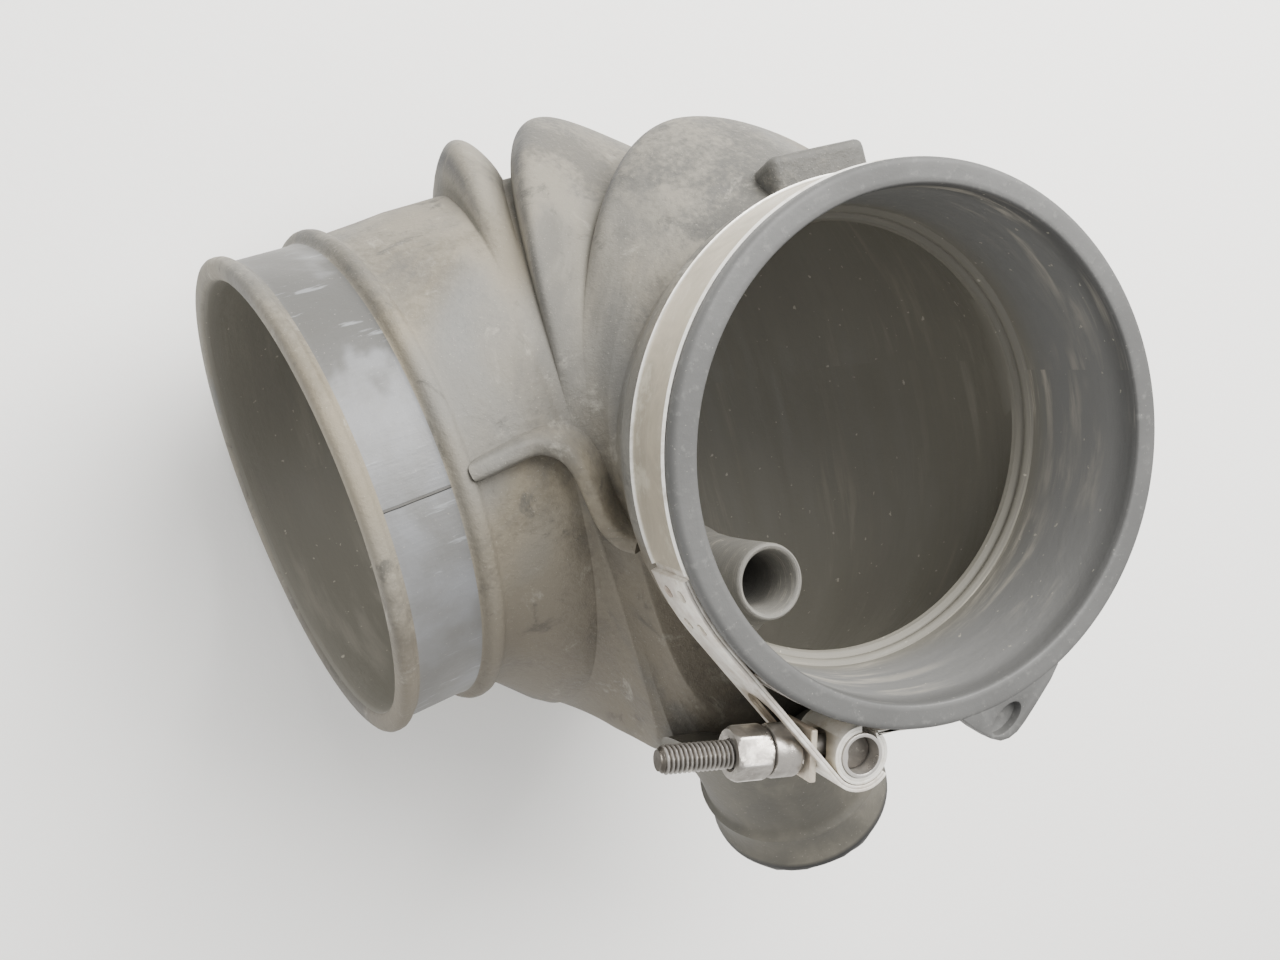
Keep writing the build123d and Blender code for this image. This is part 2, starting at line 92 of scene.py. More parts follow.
def power(name, value, about):
    return bpy.props.FloatProperty(name=name, default=value, min=0.0, unit="POWER",
                                   description=about)


class BootSettings(bpy.types.PropertyGroup):
    around: bpy.props.IntProperty(name="Columns", default=224, min=48, max=256,
                                  description="Faces round the boot's section")
    wall: size("Wall", 5.0, "Thickness of the rubber")
    fold_one: size("Fold 1 height", 12.5, "Height of the fold nearest the inlet")
    fold_two: size("Fold 2 height", 13.5, "Height of the middle fold")
    fold_three: size("Fold 3 height", 10.5, "Height of the fold nearest the outlet")
    rubber: colour("Rubber", (0.056, 0.054, 0.048), "Bare rubber where the dust is rubbed off")
    dust: colour("Dust", (0.172, 0.160, 0.132), "Dust that lies on the rubber")
    lip: colour("Lip", (0.080, 0.080, 0.078), "Cleaner rubber of the lip and the socket")
    seat: colour("Worn seat", (0.165, 0.17, 0.178), "Rubber polished by the missing inlet clamp")


class ClampSettings(bpy.types.PropertyGroup):
    band_thickness: size("Band thickness", 0.8, "Sheet thickness of the band")
    strap_thickness: size("Strap layer", 0.7, "Thickness of one layer of strap")
    thread_depth: size("Thread depth", 0.55, "Depth of the bolt's thread")
    thread_pitch: size("Thread pitch", 1.0, "Pitch of the bolt's thread")
    zinc: colour("Zinc", (0.50, 0.45, 0.36), "Aged zinc on the band")
    bright: colour("Rubbed edge", (0.84, 0.83, 0.79), "Band edges rubbed bright")
    steel: colour("Steel", (0.33, 0.31, 0.285), "Bolt, collar and nut")
    rust: colour("Rust", (0.20, 0.095, 0.055), "Rust stains on the band")


class StageSettings(bpy.types.PropertyGroup):
    floor: colour("Floor", (0.92, 0.915, 0.895), "Plain pale floor")
    key: power("Key light", 30.0, "Power of the large soft light")
    fill: power("Fill light", 2.0, "Power of the fill light")


# ---- driving places, shared by the pieces ----------------

CUFF_DEPTH = 38 * MM
HINGE = Vector((-60 * MM, 0, -CUFF_DEPTH))
BEND = 98.0                    # angle of the whole bend, in degrees
CROTCH = 6 * MM                # from the hinge to the rubber
LEG = 46.4 * MM                # length of the straight inlet leg
LEG_HALF_WIDTH = 60.3 * MM
INLET_MIDDLE = 19.15 * MM      # offset of the inlet's axis
SEAM_Y = 19.2 * MM             # height of the parting line along the inlet
BAND_MIDDLE = -12.3 * MM
BAND_INSIDE = 56.3 * MM
BAND_OUTSIDE = 57.1 * MM
BRANCH_END = Vector((-21.5, -92.3, -65.9)) * MM
BRANCH_DIRECTION = Vector((0.200, -0.904, -0.377)).normalized()
NOZZLE_END = Vector((-29.5, -22.5, -29.0)) * MM
NOZZLE_DIRECTION = Vector((0.14, 0.05, 0.99)).normalized()
STRAP_ANGLE = math.radians(203.0)
STRAP_WIDTH = 16.0 * MM
TRUNNION_ANGLE = math.radians(240.5)
TRUNNION_AT = 64.0 * MM
BOLT_ANGLE = math.radians(160.2)
CLAMP_AXIS = Vector((0, 0, 1))


def polar(radius, angle, z=0.0):
    return Vector((radius * math.cos(angle), radius * math.sin(angle), z))


BOLT_FROM = polar(TRUNNION_AT, TRUNNION_ANGLE, BAND_MIDDLE)
BOLT_ALONG = polar(1.0, BOLT_ANGLE)
BOLT_SIDE = BOLT_ALONG.cross(CLAMP_AXIS)
TRUNNION_CENTRE = Vector((BOLT_FROM.x, BOLT_FROM.y, 0))
STRAP_FROM = polar(BAND_OUTSIDE, STRAP_ANGLE, BAND_MIDDLE)
STRAP_ALONG = polar(1.0, STRAP_ANGLE + TAU / 4)
STRAP_OUT = polar(1.0, STRAP_ANGLE)


def mix(a, b, t):
    return a + (b - a) * t


def ease(t):
    t = min(max(t, 0.0), 1.0)
    return t * t * (3 - 2 * t)


def steps(table, x):
    """Straight-line reading of a short table of (place, value, value...) rows."""
    if x <= table[0][0]:
        return table[0][1:]
    for low, high in zip(table, table[1:]):
        if x <= high[0]:
            t = (x - low[0]) / (high[0] - low[0])
            return tuple(mix(a, b, t) for a, b in zip(low[1:], high[1:]))
    return table[-1][1:]


def at_bolt(along, radius, turn):
    """A point at a distance along the bolt, and round and out from its axis."""
    direction = CLAMP_AXIS * math.cos(turn) + BOLT_SIDE * math.sin(turn)
    return BOLT_FROM + BOLT_ALONG * along + direction * radius


def from_bolt(co):
    """Distance of a point along the bolt, and out from its axis."""
    along = (co - BOLT_FROM).dot(BOLT_ALONG)
    return along, (co - BOLT_FROM - BOLT_ALONG * along).length


def ring_round(direction):
    """A function that gives the outward direction at each turn round an axis."""
    side = direction.orthogonal().normalized()
    other = direction.cross(side)
    return lambda turn: side * math.cos(turn) + other * math.sin(turn)


# ---- mesh helpers ----------------

def start_fresh():
    if bpy.context.object and bpy.context.object.mode != "OBJECT":
        bpy.ops.object.mode_set(mode="OBJECT")
    bpy.ops.object.select_all(action="DESELECT")


def named(name):
    obj = bpy.context.object
    obj.name = name
    obj.data.name = name
    return obj


def only(obj):
    start_fresh()
    obj.select_set(True)
    bpy.context.view_layer.objects.active = obj


def edit(obj, *calls):
    """Runs mesh operators on the whole of one piece, in edit mode."""
    only(obj)
    bpy.ops.object.mode_set(mode="EDIT")
    bpy.ops.mesh.select_all(action="SELECT")
    for call in calls:
        call()
    bpy.ops.object.mode_set(mode="OBJECT")


def merge():
    bpy.ops.mesh.remove_doubles(threshold=1e-6)


def face_out():
    bpy.ops.mesh.normals_make_consistent(inside=False)


def wrapped_grid(name, columns, rows, place):
    """A welded grid whose column u and row v, both 0 to 1, are moved to place(u, v)."""
    start_fresh()
    bpy.ops.mesh.primitive_grid_add(x_subdivisions=columns, y_subdivisions=rows, size=2)
    obj = named(name)
    for vertex in obj.data.vertices:
        u = round((vertex.co.x + 1) / 2 * columns) / columns
        v = round((vertex.co.y + 1) / 2 * rows) / rows
        vertex.co = place(u, v)
    edit(obj, merge, face_out)
    return obj


def cap_ends(obj):
    """Closes the open ends of a wrapped grid with flat faces."""
    only(obj)
    bpy.ops.object.mode_set(mode="EDIT")
    bpy.ops.mesh.select_mode(type="EDGE")
    bpy.ops.mesh.select_all(action="DESELECT")
    bpy.ops.mesh.select_non_manifold()
    bpy.ops.mesh.fill_holes(sides=0)
    bpy.ops.mesh.select_mode(type="VERT")
    bpy.ops.mesh.select_all(action="SELECT")
    face_out()
    bpy.ops.object.mode_set(mode="OBJECT")


def apply_modifier(obj, kind, **values):
    only(obj)
    modifier = obj.modifiers.new(kind, kind)
    for key, value in values.items():
        setattr(modifier, key, value)
    bpy.ops.object.modifier_apply(modifier=modifier.name)


def soften(obj, degrees=35):
    only(obj)
    bpy.ops.object.shade_smooth_by_angle(angle=math.radians(degrees))


def rounded_edges(obj, width, segments=2, degrees=40):
    apply_modifier(obj, "BEVEL", width=width, segments=segments, limit_method="ANGLE",
                   angle_limit=math.radians(degrees), harden_normals=False)


def set_place(obj):
    """Puts the object's turn and place into its mesh."""
    only(obj)
    bpy.ops.object.transform_apply(location=True, rotation=True, scale=True)


def towards(direction):
    """The turn that points an object's Z along a direction."""
    return Vector(direction).to_track_quat("Z", "Y").to_euler()


def join_all(name, objects):
    start_fresh()
    for obj in objects:
        obj.select_set(True)
    bpy.context.view_layer.objects.active = objects[0]
    bpy.ops.object.join()
    return named(name)


def cut_with(obj, cutter):
    apply_modifier(obj, "BOOLEAN", operation="DIFFERENCE", solver="EXACT", object=cutter)
    bpy.data.objects.remove(cutter, do_unlink=True)


def paint(obj, **layers):
    """Stores numbers for each vertex, given or worked out, which a material reads by name."""
    for name, value in layers.items():
        layer = obj.data.attributes.new(name, "FLOAT", "POINT")
        for vertex, item in zip(obj.data.vertices, layer.data):
            item.value = value(vertex.co) if callable(value) else value


def finish_piece(obj, body, material, slot, *nodes):
    obj.data.materials.clear()
    obj.data.materials.append(MATERIALS[material])
    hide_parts(*nodes)
    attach(obj, body)


def bend_with_inlet(obj):
    """Bakes a piece of the boot's place into its mesh."""
    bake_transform(obj)


# ---- materials ----------------

class Shader:
    """A material's node tree, built from short calls."""

    def __init__(self, name, roughness=0.6, metallic=0.0):
        self.material = bpy.data.materials.new(name)
        self.material.use_nodes = True
        self.tree = self.material.node_tree
        self.surface = self.tree.nodes["Principled BSDF"]
        self.surface.inputs["Roughness"].default_value = roughness
        self.surface.inputs["Metallic"].default_value = metallic
        self.place = self.node("ShaderNodeTexCoord").outputs["Object"]

    def node(self, kind, **values):
        node = self.tree.nodes.new(kind)
        for key, value in values.items():
            setattr(node, key, value)
        return node

    def put(self, value, socket):
        if isinstance(value, bpy.types.NodeSocket):
            self.tree.links.new(value, socket)
        elif hasattr(socket.default_value, "__len__") and hasattr(value, "__len__"):
            length = len(socket.default_value)
            socket.default_value = (tuple(value) + (1.0,))[:length]
        else:
            socket.default_value = value

    def stretched(self, scale, source=None):
        node = self.node("ShaderNodeMapping")
        self.put(source or self.place, node.inputs["Vector"])
        node.inputs["Scale"].default_value = scale
        return node.outputs["Vector"]

    def noise(self, scale, detail=4.0, rough=0.55, warp=0.0, source=None):
        node = self.node("ShaderNodeTexNoise")
        self.put(source or self.place, node.inputs["Vector"])
        for name, number in (("Scale", scale), ("Detail", detail), ("Roughness", rough),
                             ("Distortion", warp)):
            node.inputs[name].default_value = number
        return node.outputs["Fac"]

    def band(self, value, low, high, to_low=0.0, to_high=1.0):
        node = self.node("ShaderNodeMapRange", interpolation_type="SMOOTHSTEP")
        self.put(value, node.inputs["Value"])
        for name, number in (("From Min", low), ("From Max", high), ("To Min", to_low),
                             ("To Max", to_high)):
            node.inputs[name].default_value = number
        return node.outputs["Result"]

    def maths(self, operation, a, b=0.0):
        node = self.node("ShaderNodeMath", operation=operation)
        self.put(a, node.inputs[0])
        self.put(b, node.inputs[1])
        return node.outputs["Value"]

    def times(self, a, b):
        return self.maths("MULTIPLY", a, b)

    def blend(self, amount, a, b):
        node = self.node("ShaderNodeMix", data_type="RGBA")
        self.put(amount, node.inputs["Factor"])
        self.put(a, node.inputs[6])
        self.put(b, node.inputs[7])
        return node.outputs[2]

    def cloud(self, base, colour, share, low, high, *noise, **source):
        """Lays a colour over the base where a noise lies above low, fully above high."""
        mask = self.band(self.noise(*noise, **source), low, high, 0.0, share)
        return self.blend(mask, base, colour)

    def axis(self, which):
        node = self.node("ShaderNodeSeparateXYZ")
        self.put(self.place, node.inputs["Vector"])
        return node.outputs[which]

    def painted(self, name):
        return self.node("ShaderNodeAttribute", attribute_name=name).outputs["Fac"]

    def sheet_place(self):
        return self.node("ShaderNodeUVMap").outputs["UV"]

    def finish(self, base, rough, *bumps):
        """Sets colour and roughness. Each bump is (height value, distance in metres)."""
        self.put(base, self.surface.inputs["Base Color"])
        if rough is not None:
            self.put(rough, self.surface.inputs["Roughness"])
        normal = None
        for value, distance in bumps:
            node = self.node("ShaderNodeBump")
            self.put(value, node.inputs["Height"])
            node.inputs["Distance"].default_value = distance
            node.inputs["Strength"].default_value = 1.0
            if normal is not None:
                self.put(normal, node.inputs["Normal"])
            normal = node.outputs["Normal"]
        self.put(normal, self.surface.inputs["Normal"])
        return self.material


def toned(tint, tone):
    return tuple(min(c * tone, 1.0) for c in tint)


def seam_line(s):
    """A thin wandering line where the mould closed, along the inlet."""
    wander = s.times(s.maths("SUBTRACT", s.noise(45, 2), 0.5), 0.0022)
    height = s.maths("ADD", s.axis(1), wander)
    away = s.maths("ABSOLUTE", s.maths("SUBTRACT", height, SEAM_Y))
    return s.band(away, 0.00018, 0.00042, 1.0, 0.0)


def dusty_rubber(settings):
    """Outside of the boot: grey rubber under patchy dust, rubbed dark on the folds, with painted
    shade in the creases and on the lower half.
    """
    s = Shader("dusty_rubber")
    patches = s.noise(26, 5, 0.6, 0.4)
    grain = s.noise(700, 3, 0.6)
    specks = s.noise(2600, 2, 0.5)
    film = s.band(s.maths("ADD", patches, s.times(grain, 0.25)), 0.48, 0.68)
    base = s.blend(film, toned(settings.rubber, 1.25), settings.dust)
    # warm dust, cool grey bloom, dark stains
    base = s.cloud(base, (0.20, 0.165, 0.105), 0.5, 0.40, 0.68, 9, 3, 0.5)
    base = s.cloud(base, (0.135, 0.14, 0.14), 0.7, 0.52, 0.70, 14, 3, 0.5, 0.8)
    base = s.cloud(base, settings.rubber, 0.7, 0.56, 0.68, 55, 6, 0.7, 1.2)
    # the lower half is painted darker and browner, as painted shade
    height = s.maths("ADD", s.axis(1), s.times(patches, 0.03))
    base = s.blend(s.band(height, -0.015, 0.030, 0.5, 0.0), base, (0.100, 0.085, 0.066))
    # smudges and pale scuffs
    base = s.cloud(base, (0.085, 0.082, 0.074), 0.65, 0.50, 0.64, 17, 6, 0.65, 0.9)
    base = s.cloud(base, (0.29, 0.275, 0.235), 0.65, 0.57, 0.72, 75, 6, 0.75, 0.5)
    rubbed = s.times(s.painted("rub"), s.band(s.noise(120, 5, 0.7), 0.30, 0.55, 0.35, 1.0))
    base = s.blend(rubbed, base, (0.040, 0.040, 0.042))
    # painted shade: the creases between the folds are darkened
    base = s.blend(s.times(s.painted("crease"), 0.92), base, (0.052, 0.048, 0.037))
    base = s.blend(s.band(specks, 0.66, 0.74, 0.0, 0.35), base, (0.36, 0.34, 0.29))
    return s.finish(base, s.band(patches, 0.3, 0.7, 0.62, 0.86),
                    (grain, 0.00022), (specks, 0.00007), (patches, 0.0006))


def branch_rubber(settings):
    """The branch: painted darker than the boot, with thin dust and a raw black cut end."""
    s = Shader("branch_rubber")
    patches = s.noise(34, 5, 0.6, 0.4)
    streaks = s.noise(60, 4, 0.6, source=s.stretched((1.0, 0.25, 1.0)))
    base = s.blend(s.band(patches, 0.38, 0.70), (0.062, 0.058, 0.047), (0.125, 0.115, 0.092))
    base = s.blend(s.band(streaks, 0.56, 0.70, 0.0, 0.45), base, (0.165, 0.155, 0.125))
    base = s.cloud(base, (0.33, 0.31, 0.27), 0.35, 0.68, 0.75, 1700, 2, 0.5)
    base = s.blend(s.painted("rub"), base, (0.010, 0.010, 0.010))
    return s.finish(base, s.band(patches, 0.3, 0.7, 0.55, 0.75),
                    (s.noise(700, 3), 0.00012), (streaks, 0.0001))


def worn_seat(settings):
    """Inlet clamp seat: polished blue-grey rubber with darker unworn patches and scuffs."""
    s = Shader("worn_seat")
    patches = s.noise(20, 4, 0.5, 0.9)
    scuffs = s.noise(60, 4, 0.6, source=s.stretched((1.2, 9.0, 1.2)))
    seam = seam_line(s)
    base = s.blend(s.band(s.noise(38, 5, 0.6, 0.5), 0.35, 0.65), settings.seat,
                   (0.125, 0.125, 0.122))
    # unworn at the top, dusty at the bottom
    high = s.maths("ADD", patches, s.times(s.axis(1), 3.5))
    base = s.blend(s.band(high, 0.62, 0.70, 0.0, 0.85), base, (0.062, 0.060, 0.054))
    low = s.maths("SUBTRACT", s.noise(24, 4, 0.5), s.times(s.axis(1), 5.0))
    base = s.blend(s.band(low, 0.60, 0.72, 0.0, 0.55), base, (0.085, 0.080, 0.068))
    base = s.blend(s.band(scuffs, 0.62, 0.70, 0.0, 0.6), base, (0.25, 0.26, 0.27))
    base = s.cloud(base, (0.36, 0.34, 0.30), 0.3, 0.68, 0.75, 1900, 2, 0.5)
    base = s.blend(s.times(seam, 0.8), base, (0.045, 0.042, 0.036))
    return s.finish(base, s.band(patches, 0.3, 0.7, 0.42, 0.62),
                    (scuffs, 0.00012), (s.noise(900, 3), 0.00006), (seam, 0.0004))


def lip_rubber(settings):
    """Outlet lip: clean slate rubber with pale scuffs."""
    s = Shader("lip_rubber")
    fine = s.noise(420, 4, 0.6)
    broad = s.noise(30, 3, 0.5)
    base = s.blend(s.band(broad, 0.35, 0.65), settings.lip, toned(settings.lip, 0.78))
    base = s.blend(s.band(fine, 0.55, 0.72, 0.0, 0.4), base, (0.150, 0.150, 0.142))
    base = s.cloud(base, (0.33, 0.32, 0.28), 0.35, 0.69, 0.76, 1700, 2, 0.5)
    return s.finish(base, s.band(broad, 0.3, 0.7, 0.55, 0.7),
                    (fine, 0.00010), (s.noise(60, 3), 0.0002))


def socket_rubber(settings):
    """Inside of the boot: a lighter copy of the lip rubber, brownish deeper in, as painted light in
    the shaded bore, with dust drawn out in streaks round the bore.
    """
    s = Shader("socket_rubber")
    sheet = s.sheet_place()
    streaks = s.noise(1.0, 6, 0.65, 0.3, source=s.stretched((9.0, 260.0, 1.0), sheet))
    broad = s.noise(1.0, 3, 0.5, source=s.stretched((7.0, 38.0, 1.0), sheet))
    dust = s.times(s.band(streaks, 0.47, 0.68), s.band(broad, 0.40, 0.62))
    dust = s.times(dust, s.painted("streaks"))
    # painted light: the bore is painted as the lip's rubber made twice as light, brownish deeper
    # in, to lift its shade
    base = s.blend(s.painted("deep"), toned(settings.lip, 2.0), (0.150, 0.142, 0.118))
    # the mouth keeps the lip's own colour and blends into the painted light over 8 mm
    base = s.blend(s.band(s.axis(2), -0.009, -0.001), base, settings.lip)
    base = s.blend(s.times(dust, 0.75), base, (0.40, 0.37, 0.31))
    base = s.cloud(base, (0.40, 0.38, 0.31), 0.7, 0.71, 0.76, 520, 2, 0.5)
    # painted shade: the nozzle's bore is painted near black
    base = s.blend(s.painted("hole"), base, (0.022, 0.021, 0.018))
    return s.finish(base, s.band(streaks, 0.3, 0.7, 0.50, 0.75),
                    (streaks, 0.00012), (s.noise(600, 3), 0.00008))


def aged_zinc(settings, name, tone):
    """Band and straps: tan aged zinc with stains, rubbed edges and rust."""
    s = Shader(name, metallic=0.55)
    clouds = s.noise(45, 5, 0.6, 0.6)
    scratches = s.noise(40, 4, 0.7, source=s.stretched((3, 3, 60)))
    zinc = toned(settings.zinc, tone)
    base = s.blend(s.band(clouds, 0.35, 0.68), zinc, toned(zinc, 0.68))
    base = s.cloud(base, (0.60, 0.57, 0.48), 0.55, 0.52, 0.68, 130, 5, 0.7)
    base = s.blend(s.band(scratches, 0.62, 0.70, 0.0, 0.4), base, (0.72, 0.70, 0.64))
    worn = s.times(s.painted("edge"), s.band(s.noise(260, 4, 0.7), 0.25, 0.55, 0.35, 1.0))
    base = s.blend(worn, base, settings.bright)
    rust = s.times(s.painted("rust"), s.band(s.noise(170, 5, 0.65, 0.5), 0.38, 0.60))
    base = s.blend(rust, base, settings.rust)
    return s.finish(base, s.band(clouds, 0.3, 0.7, 0.36, 0.58),
                    (s.noise(900, 3, 0.6), 0.00006), (scratches, 0.00004))


def bolt_steel(settings, name, tone, rough):
    """Bolt, collar and nut: dull plated steel with darker grime in the hollows."""
    s = Shader(name, metallic=0.85)
    clouds = s.noise(160, 5, 0.6, 0.4)
    steel = toned(settings.steel, tone)
    base = s.blend(s.band(clouds, 0.35, 0.66), steel, toned(steel, 0.62))
    base = s.cloud(base, (0.62, 0.58, 0.52), 0.6, 0.55, 0.70, 420, 5, 0.7)
    base = s.blend(s.times(s.painted("grime"), 0.8), base, (0.06, 0.052, 0.042))
    base = s.blend(s.times(s.painted("edge"), 0.7), base, (0.85, 0.82, 0.78))
    return s.finish(base, s.band(clouds, 0.3, 0.7, rough - 0.08, rough + 0.18),
                    (s.noise(1500, 3, 0.6), 0.00004), (clouds, 0.00012))


MATERIALS = {}


def make_materials(scene):
    boot = scene.boot_settings
    clamp = scene.clamp_settings
    MATERIALS.update({
        "outside": dusty_rubber(boot),
        "branch": branch_rubber(boot),
        "lip": lip_rubber(boot),
        "socket": socket_rubber(boot),
        "seat": worn_seat(boot),
        "zinc": aged_zinc(clamp, "aged_zinc", 1.0),
        "strap": aged_zinc(clamp, "strap_zinc", 1.12),
        "bolt": bolt_steel(clamp, "bolt_steel", 0.72, 0.42),
        "nut": bolt_steel(clamp, "nut_steel", 1.25, 0.30),
    })


# ---- the boot's shape ----------------

# angle round the bend, half width, top and bottom of the plain section, in mm
BEND_SECTIONS = (
    (0, 54.0, 54.0, -54.0), (9, 56.0, 62.5, -58.0), (20, 57.5, 67.0, -61.0),
    (36, 59.0, 72.5, -63.0), (66, 60.3, 79.0, -61.5), (88, 60.4, 79.6, -51.0),
    (BEND, 60.3, 79.4, -41.3),
)
# start and end angle of each fold, where its crest fades out on the crotch side, skew, roundness
FOLDS = ((6, 37, 150, 1.75, 0.72), (38, 69, 172, 1.85, 0.66), (71.5, 85.5, 140, 1.2, 0.55))
INSIDE_LIFT = 0.55             # share of a fold's height that shows on the inside
# angle round the bend and how far the lower half sags below the plain section, in mm
BELLY = ((0, 0.0), (8, 3.0), (20, 5.0), (36, 6.5), (66, 9.5), (86, 12.5), (BEND, 13.0))
BELLY_REACH = 19 * MM          # how far the sag runs on along the inlet leg
BEND_ROWS = 141                # rows along the outside of the bend
BEND_STEP = 0.7                # degrees between them
LIP_ROWS = 12                  # rows of the outlet cuff that have the lip's rubber
SEAT_ROWS = (15, 22)           # rows of the inlet leg that the missing clamp polished


def fold_heights(settings):
    return settings.fold_three, settings.fold_two, settings.fold_one


def fold_height(angle, turn, heights):
    """Lift, crest and painted crease shade of the folds, at an angle round the bend and a turn
    round it.
    """
    lift = 0.0
    crest = 0.0
    crease = 0.0
    degrees = math.degrees(turn) % 360
    if degrees > 250:
        degrees -= 360
    for (start, end, fade, skew, power), height in zip(FOLDS, heights):
        t = (angle - start) / (end - start)
        if degrees > 90:
            reach = 1 - ease((degrees - 88) / (fade - 88))
        else:
            reach = ease((degrees + 42) / 110)
        if -0.12 < t < 1.0:
            shape = max(math.sin(math.pi * max(t, 0) ** skew), 0) ** power
            lift += height * shape * reach
            crest = max(crest, reach * math.exp(-((t - 0.84) / 0.10) ** 2))
        # painted shade where one fold meets the next
        if 0.93 < t < 1.12:
            crease = max(crease, math.exp(-((t - 1.015) / 0.045) ** 2) * min(reach * 3, 1))
    return lift, crest, crease


def bend_frame(angle):
    turn = math.radians(angle)
    return Vector((math.cos(turn), 0, -math.sin(turn)))


def section_point(kind, s, turn, change, settings, inside):
    """A point of the boot. s is the depth of a cuff, the angle of a bend or the way up a leg."""
    across, rise = math.cos(turn), math.sin(turn)
    if kind == "cuff":
        return Vector((change * across, change * rise, -s))
    if kind == "leg":
        out = bend_frame(BEND)
        tilt = math.radians(BEND - 90)
        along = Vector((-math.cos(tilt), 0, math.sin(tilt)))
        centre = HINGE + out * (CROTCH + LEG_HALF_WIDTH) + UP * INLET_MIDDLE + along * s
        sag = BELLY[-1][1] * MM * ease(1 - s / BELLY_REACH) * max(0.0, -rise)
        return centre - UP * sag + out * change * across + UP * change * rise
    half, top, bottom = (value * MM for value in steps(BEND_SECTIONS, s))
    lift = fold_height(s, turn, fold_heights(settings))[0]
    if inside:
        lift *= INSIDE_LIFT
    height = (top - bottom) / 2 + change
    width = half + change
    middle = (top + bottom) / 2
    out = bend_frame(s)
    # below the parting line the section is squarer, and most so on the crotch side
    flat = Vector((across, rise))
    if flat.y < 0:
        square = min(ease((s + 1) / 8), ease((BEND - s) / 18)) * (0.56 if flat.x < 0 else 0.30)
        flat = Vector((math.copysign(abs(flat.x) ** (1 - square), flat.x),
                       -(abs(flat.y) ** (1 - square))))
    point = HINGE + out * (CROTCH + half + width * flat.x) + UP * (middle + height * flat.y)
    point -= UP * steps(BELLY, s)[0] * MM * max(0.0, -rise)
    normal = (out * flat.x * height + UP * flat.y * width).normalized()
    return point + normal * lift


def cuff_rows():
    """Depth and radius down the outside of the outlet cuff, in mm: lip, band seat, shoulder."""
    rows = [(0.0, r) for r in (52.6, 53.5, 55, 56.1)]
    rows += [(1.3 - 1.3 * math.cos(a), 56.2 + 1.3 * math.sin(a)) for a in (0.3, 0.7, 1.1, 1.5)]
    rows += [(2.9, 57.5), (3.15, 57.35), (3.4, 56.5), (3.6, 56.28)]
    rows += [(z, 56.25) for z in (6, 9, 12, 15, 18, 20.8)]
    rows += [(21.4, 56.4), (22.0, 57.0), (22.8, 57.3), (25, 57.3), (27, 57.0), (30, 55.9),
             (33, 54.7), (36, 54.1)]
    return rows


def leg_rows():
    """Distance from the lip and radius along the outside of the inlet leg, from the bend out."""
    rows = [(44, 60.2), (41, 59.9), (37, 59.5), (33, 59.2), (29, 58.9), (27, 58.8)]
    # the ridge behind the seat
    rows += [(26.1, 58.9), (25.5, 59.4), (25.0, 60.2), (24.3, 60.8), (23.4, 61.0), (22.5, 60.9),
             (21.7, 60.4), (21.1, 59.5), (20.7, 58.7), (20.2, 58.4), (19.4, 58.25)]
    rows += [(z, 58.2) for z in (17, 14, 11, 8, 6)]
    # the rolled lip
    rows += [(5.0, 58.25), (4.3, 58.5), (3.8, 59.1), (3.4, 59.7), (2.9, 60.0), (2.0, 60.1),
             (1.1, 60.0), (0.5, 59.6), (0.1, 58.9), (0, 58.0), (0.0, 56.6), (0.2, 55.7),
             (0.8, 55.0), (2, 54.7)]
    return rows


def socket_rows():
    """Depth and radius up the inside of the outlet: the edge, the stop bead and the socket."""
    rows = [(37.9, 49.2), (37.0, 49.6), (36.6, 50.8), (36.0, 51.2), (35.7, 50.9), (35.3, 50.6),
            (34.7, 50.6), (34.2, 50.9), (33.8, 51.5), (33.4, 51.9), (32, 52)]
    rows += [(z, 52.0) for z in (28, 23, 18, 13, 8, 4, 1.6)]
    rows += [(0.7, 52.1), (0.2, 52.3), (0, 52.6)]
    return rows


def boot_rows(settings):
    """Every row of the boot: kind, place along it, radius or change of radius, inside or not."""
    rows = [("cuff", s * MM, r * MM, False) for s, r in cuff_rows()]
    rows += [("bend", a * BEND_STEP, 0.0, False) for a in range(BEND_ROWS)]
    rows += [("leg", LEG - s * MM, r * MM, False) for s, r in leg_rows()]
    rows += [("leg", LEG - s * MM, 54.6 * MM, True) for s in (5, 10, 15, 20, 25, 30, 36, 42)]
    rows += [("bend", 98 - a * 1.9, -settings.wall, True) for a in range(51)]
    rows += [("cuff", s * MM, r * MM, True) for s, r in socket_rows()]
    return rows


def build_boot(settings):
    rows = boot_rows(settings)
    count = len(rows) - 1
    heights = fold_heights(settings)

    def place(u, v):
        kind, s, change, inside = rows[round(v * count)]
        return section_point(kind, s, u * TAU, change, settings, inside)

    def folds_at(which):
        """Paints one of the fold values where a point lies on the bend."""
        def value(co):
            away = math.hypot(co.x - HINGE.x, co.z - HINGE.z)
            angle = math.degrees(math.atan2(HINGE.z - co.z, co.x - HINGE.x))
            half, top, bottom = (value * MM for value in steps(BEND_SECTIONS, angle))
            turn = math.atan2((co.y - (top + bottom) / 2), (away - CROTCH - half))
            return fold_height(angle, turn, heights)[which] if 1 < angle < BEND else 0.0
        return value

    def deep(co):
        return ease((-0.025 - co.z) / 0.010) if math.hypot(co.x, co.y) < 0.06 else 1.0

    boot = wrapped_grid("boot", settings.around, count, place)
    # the crease values are painted shade in the creases between the folds
    paint(boot, rub=folds_at(1), crease=folds_at(2), deep=deep,
          streaks=lambda co: 1.0 if co.z > -0.034 else 0.25)
    soften(boot, 38)
    return boot


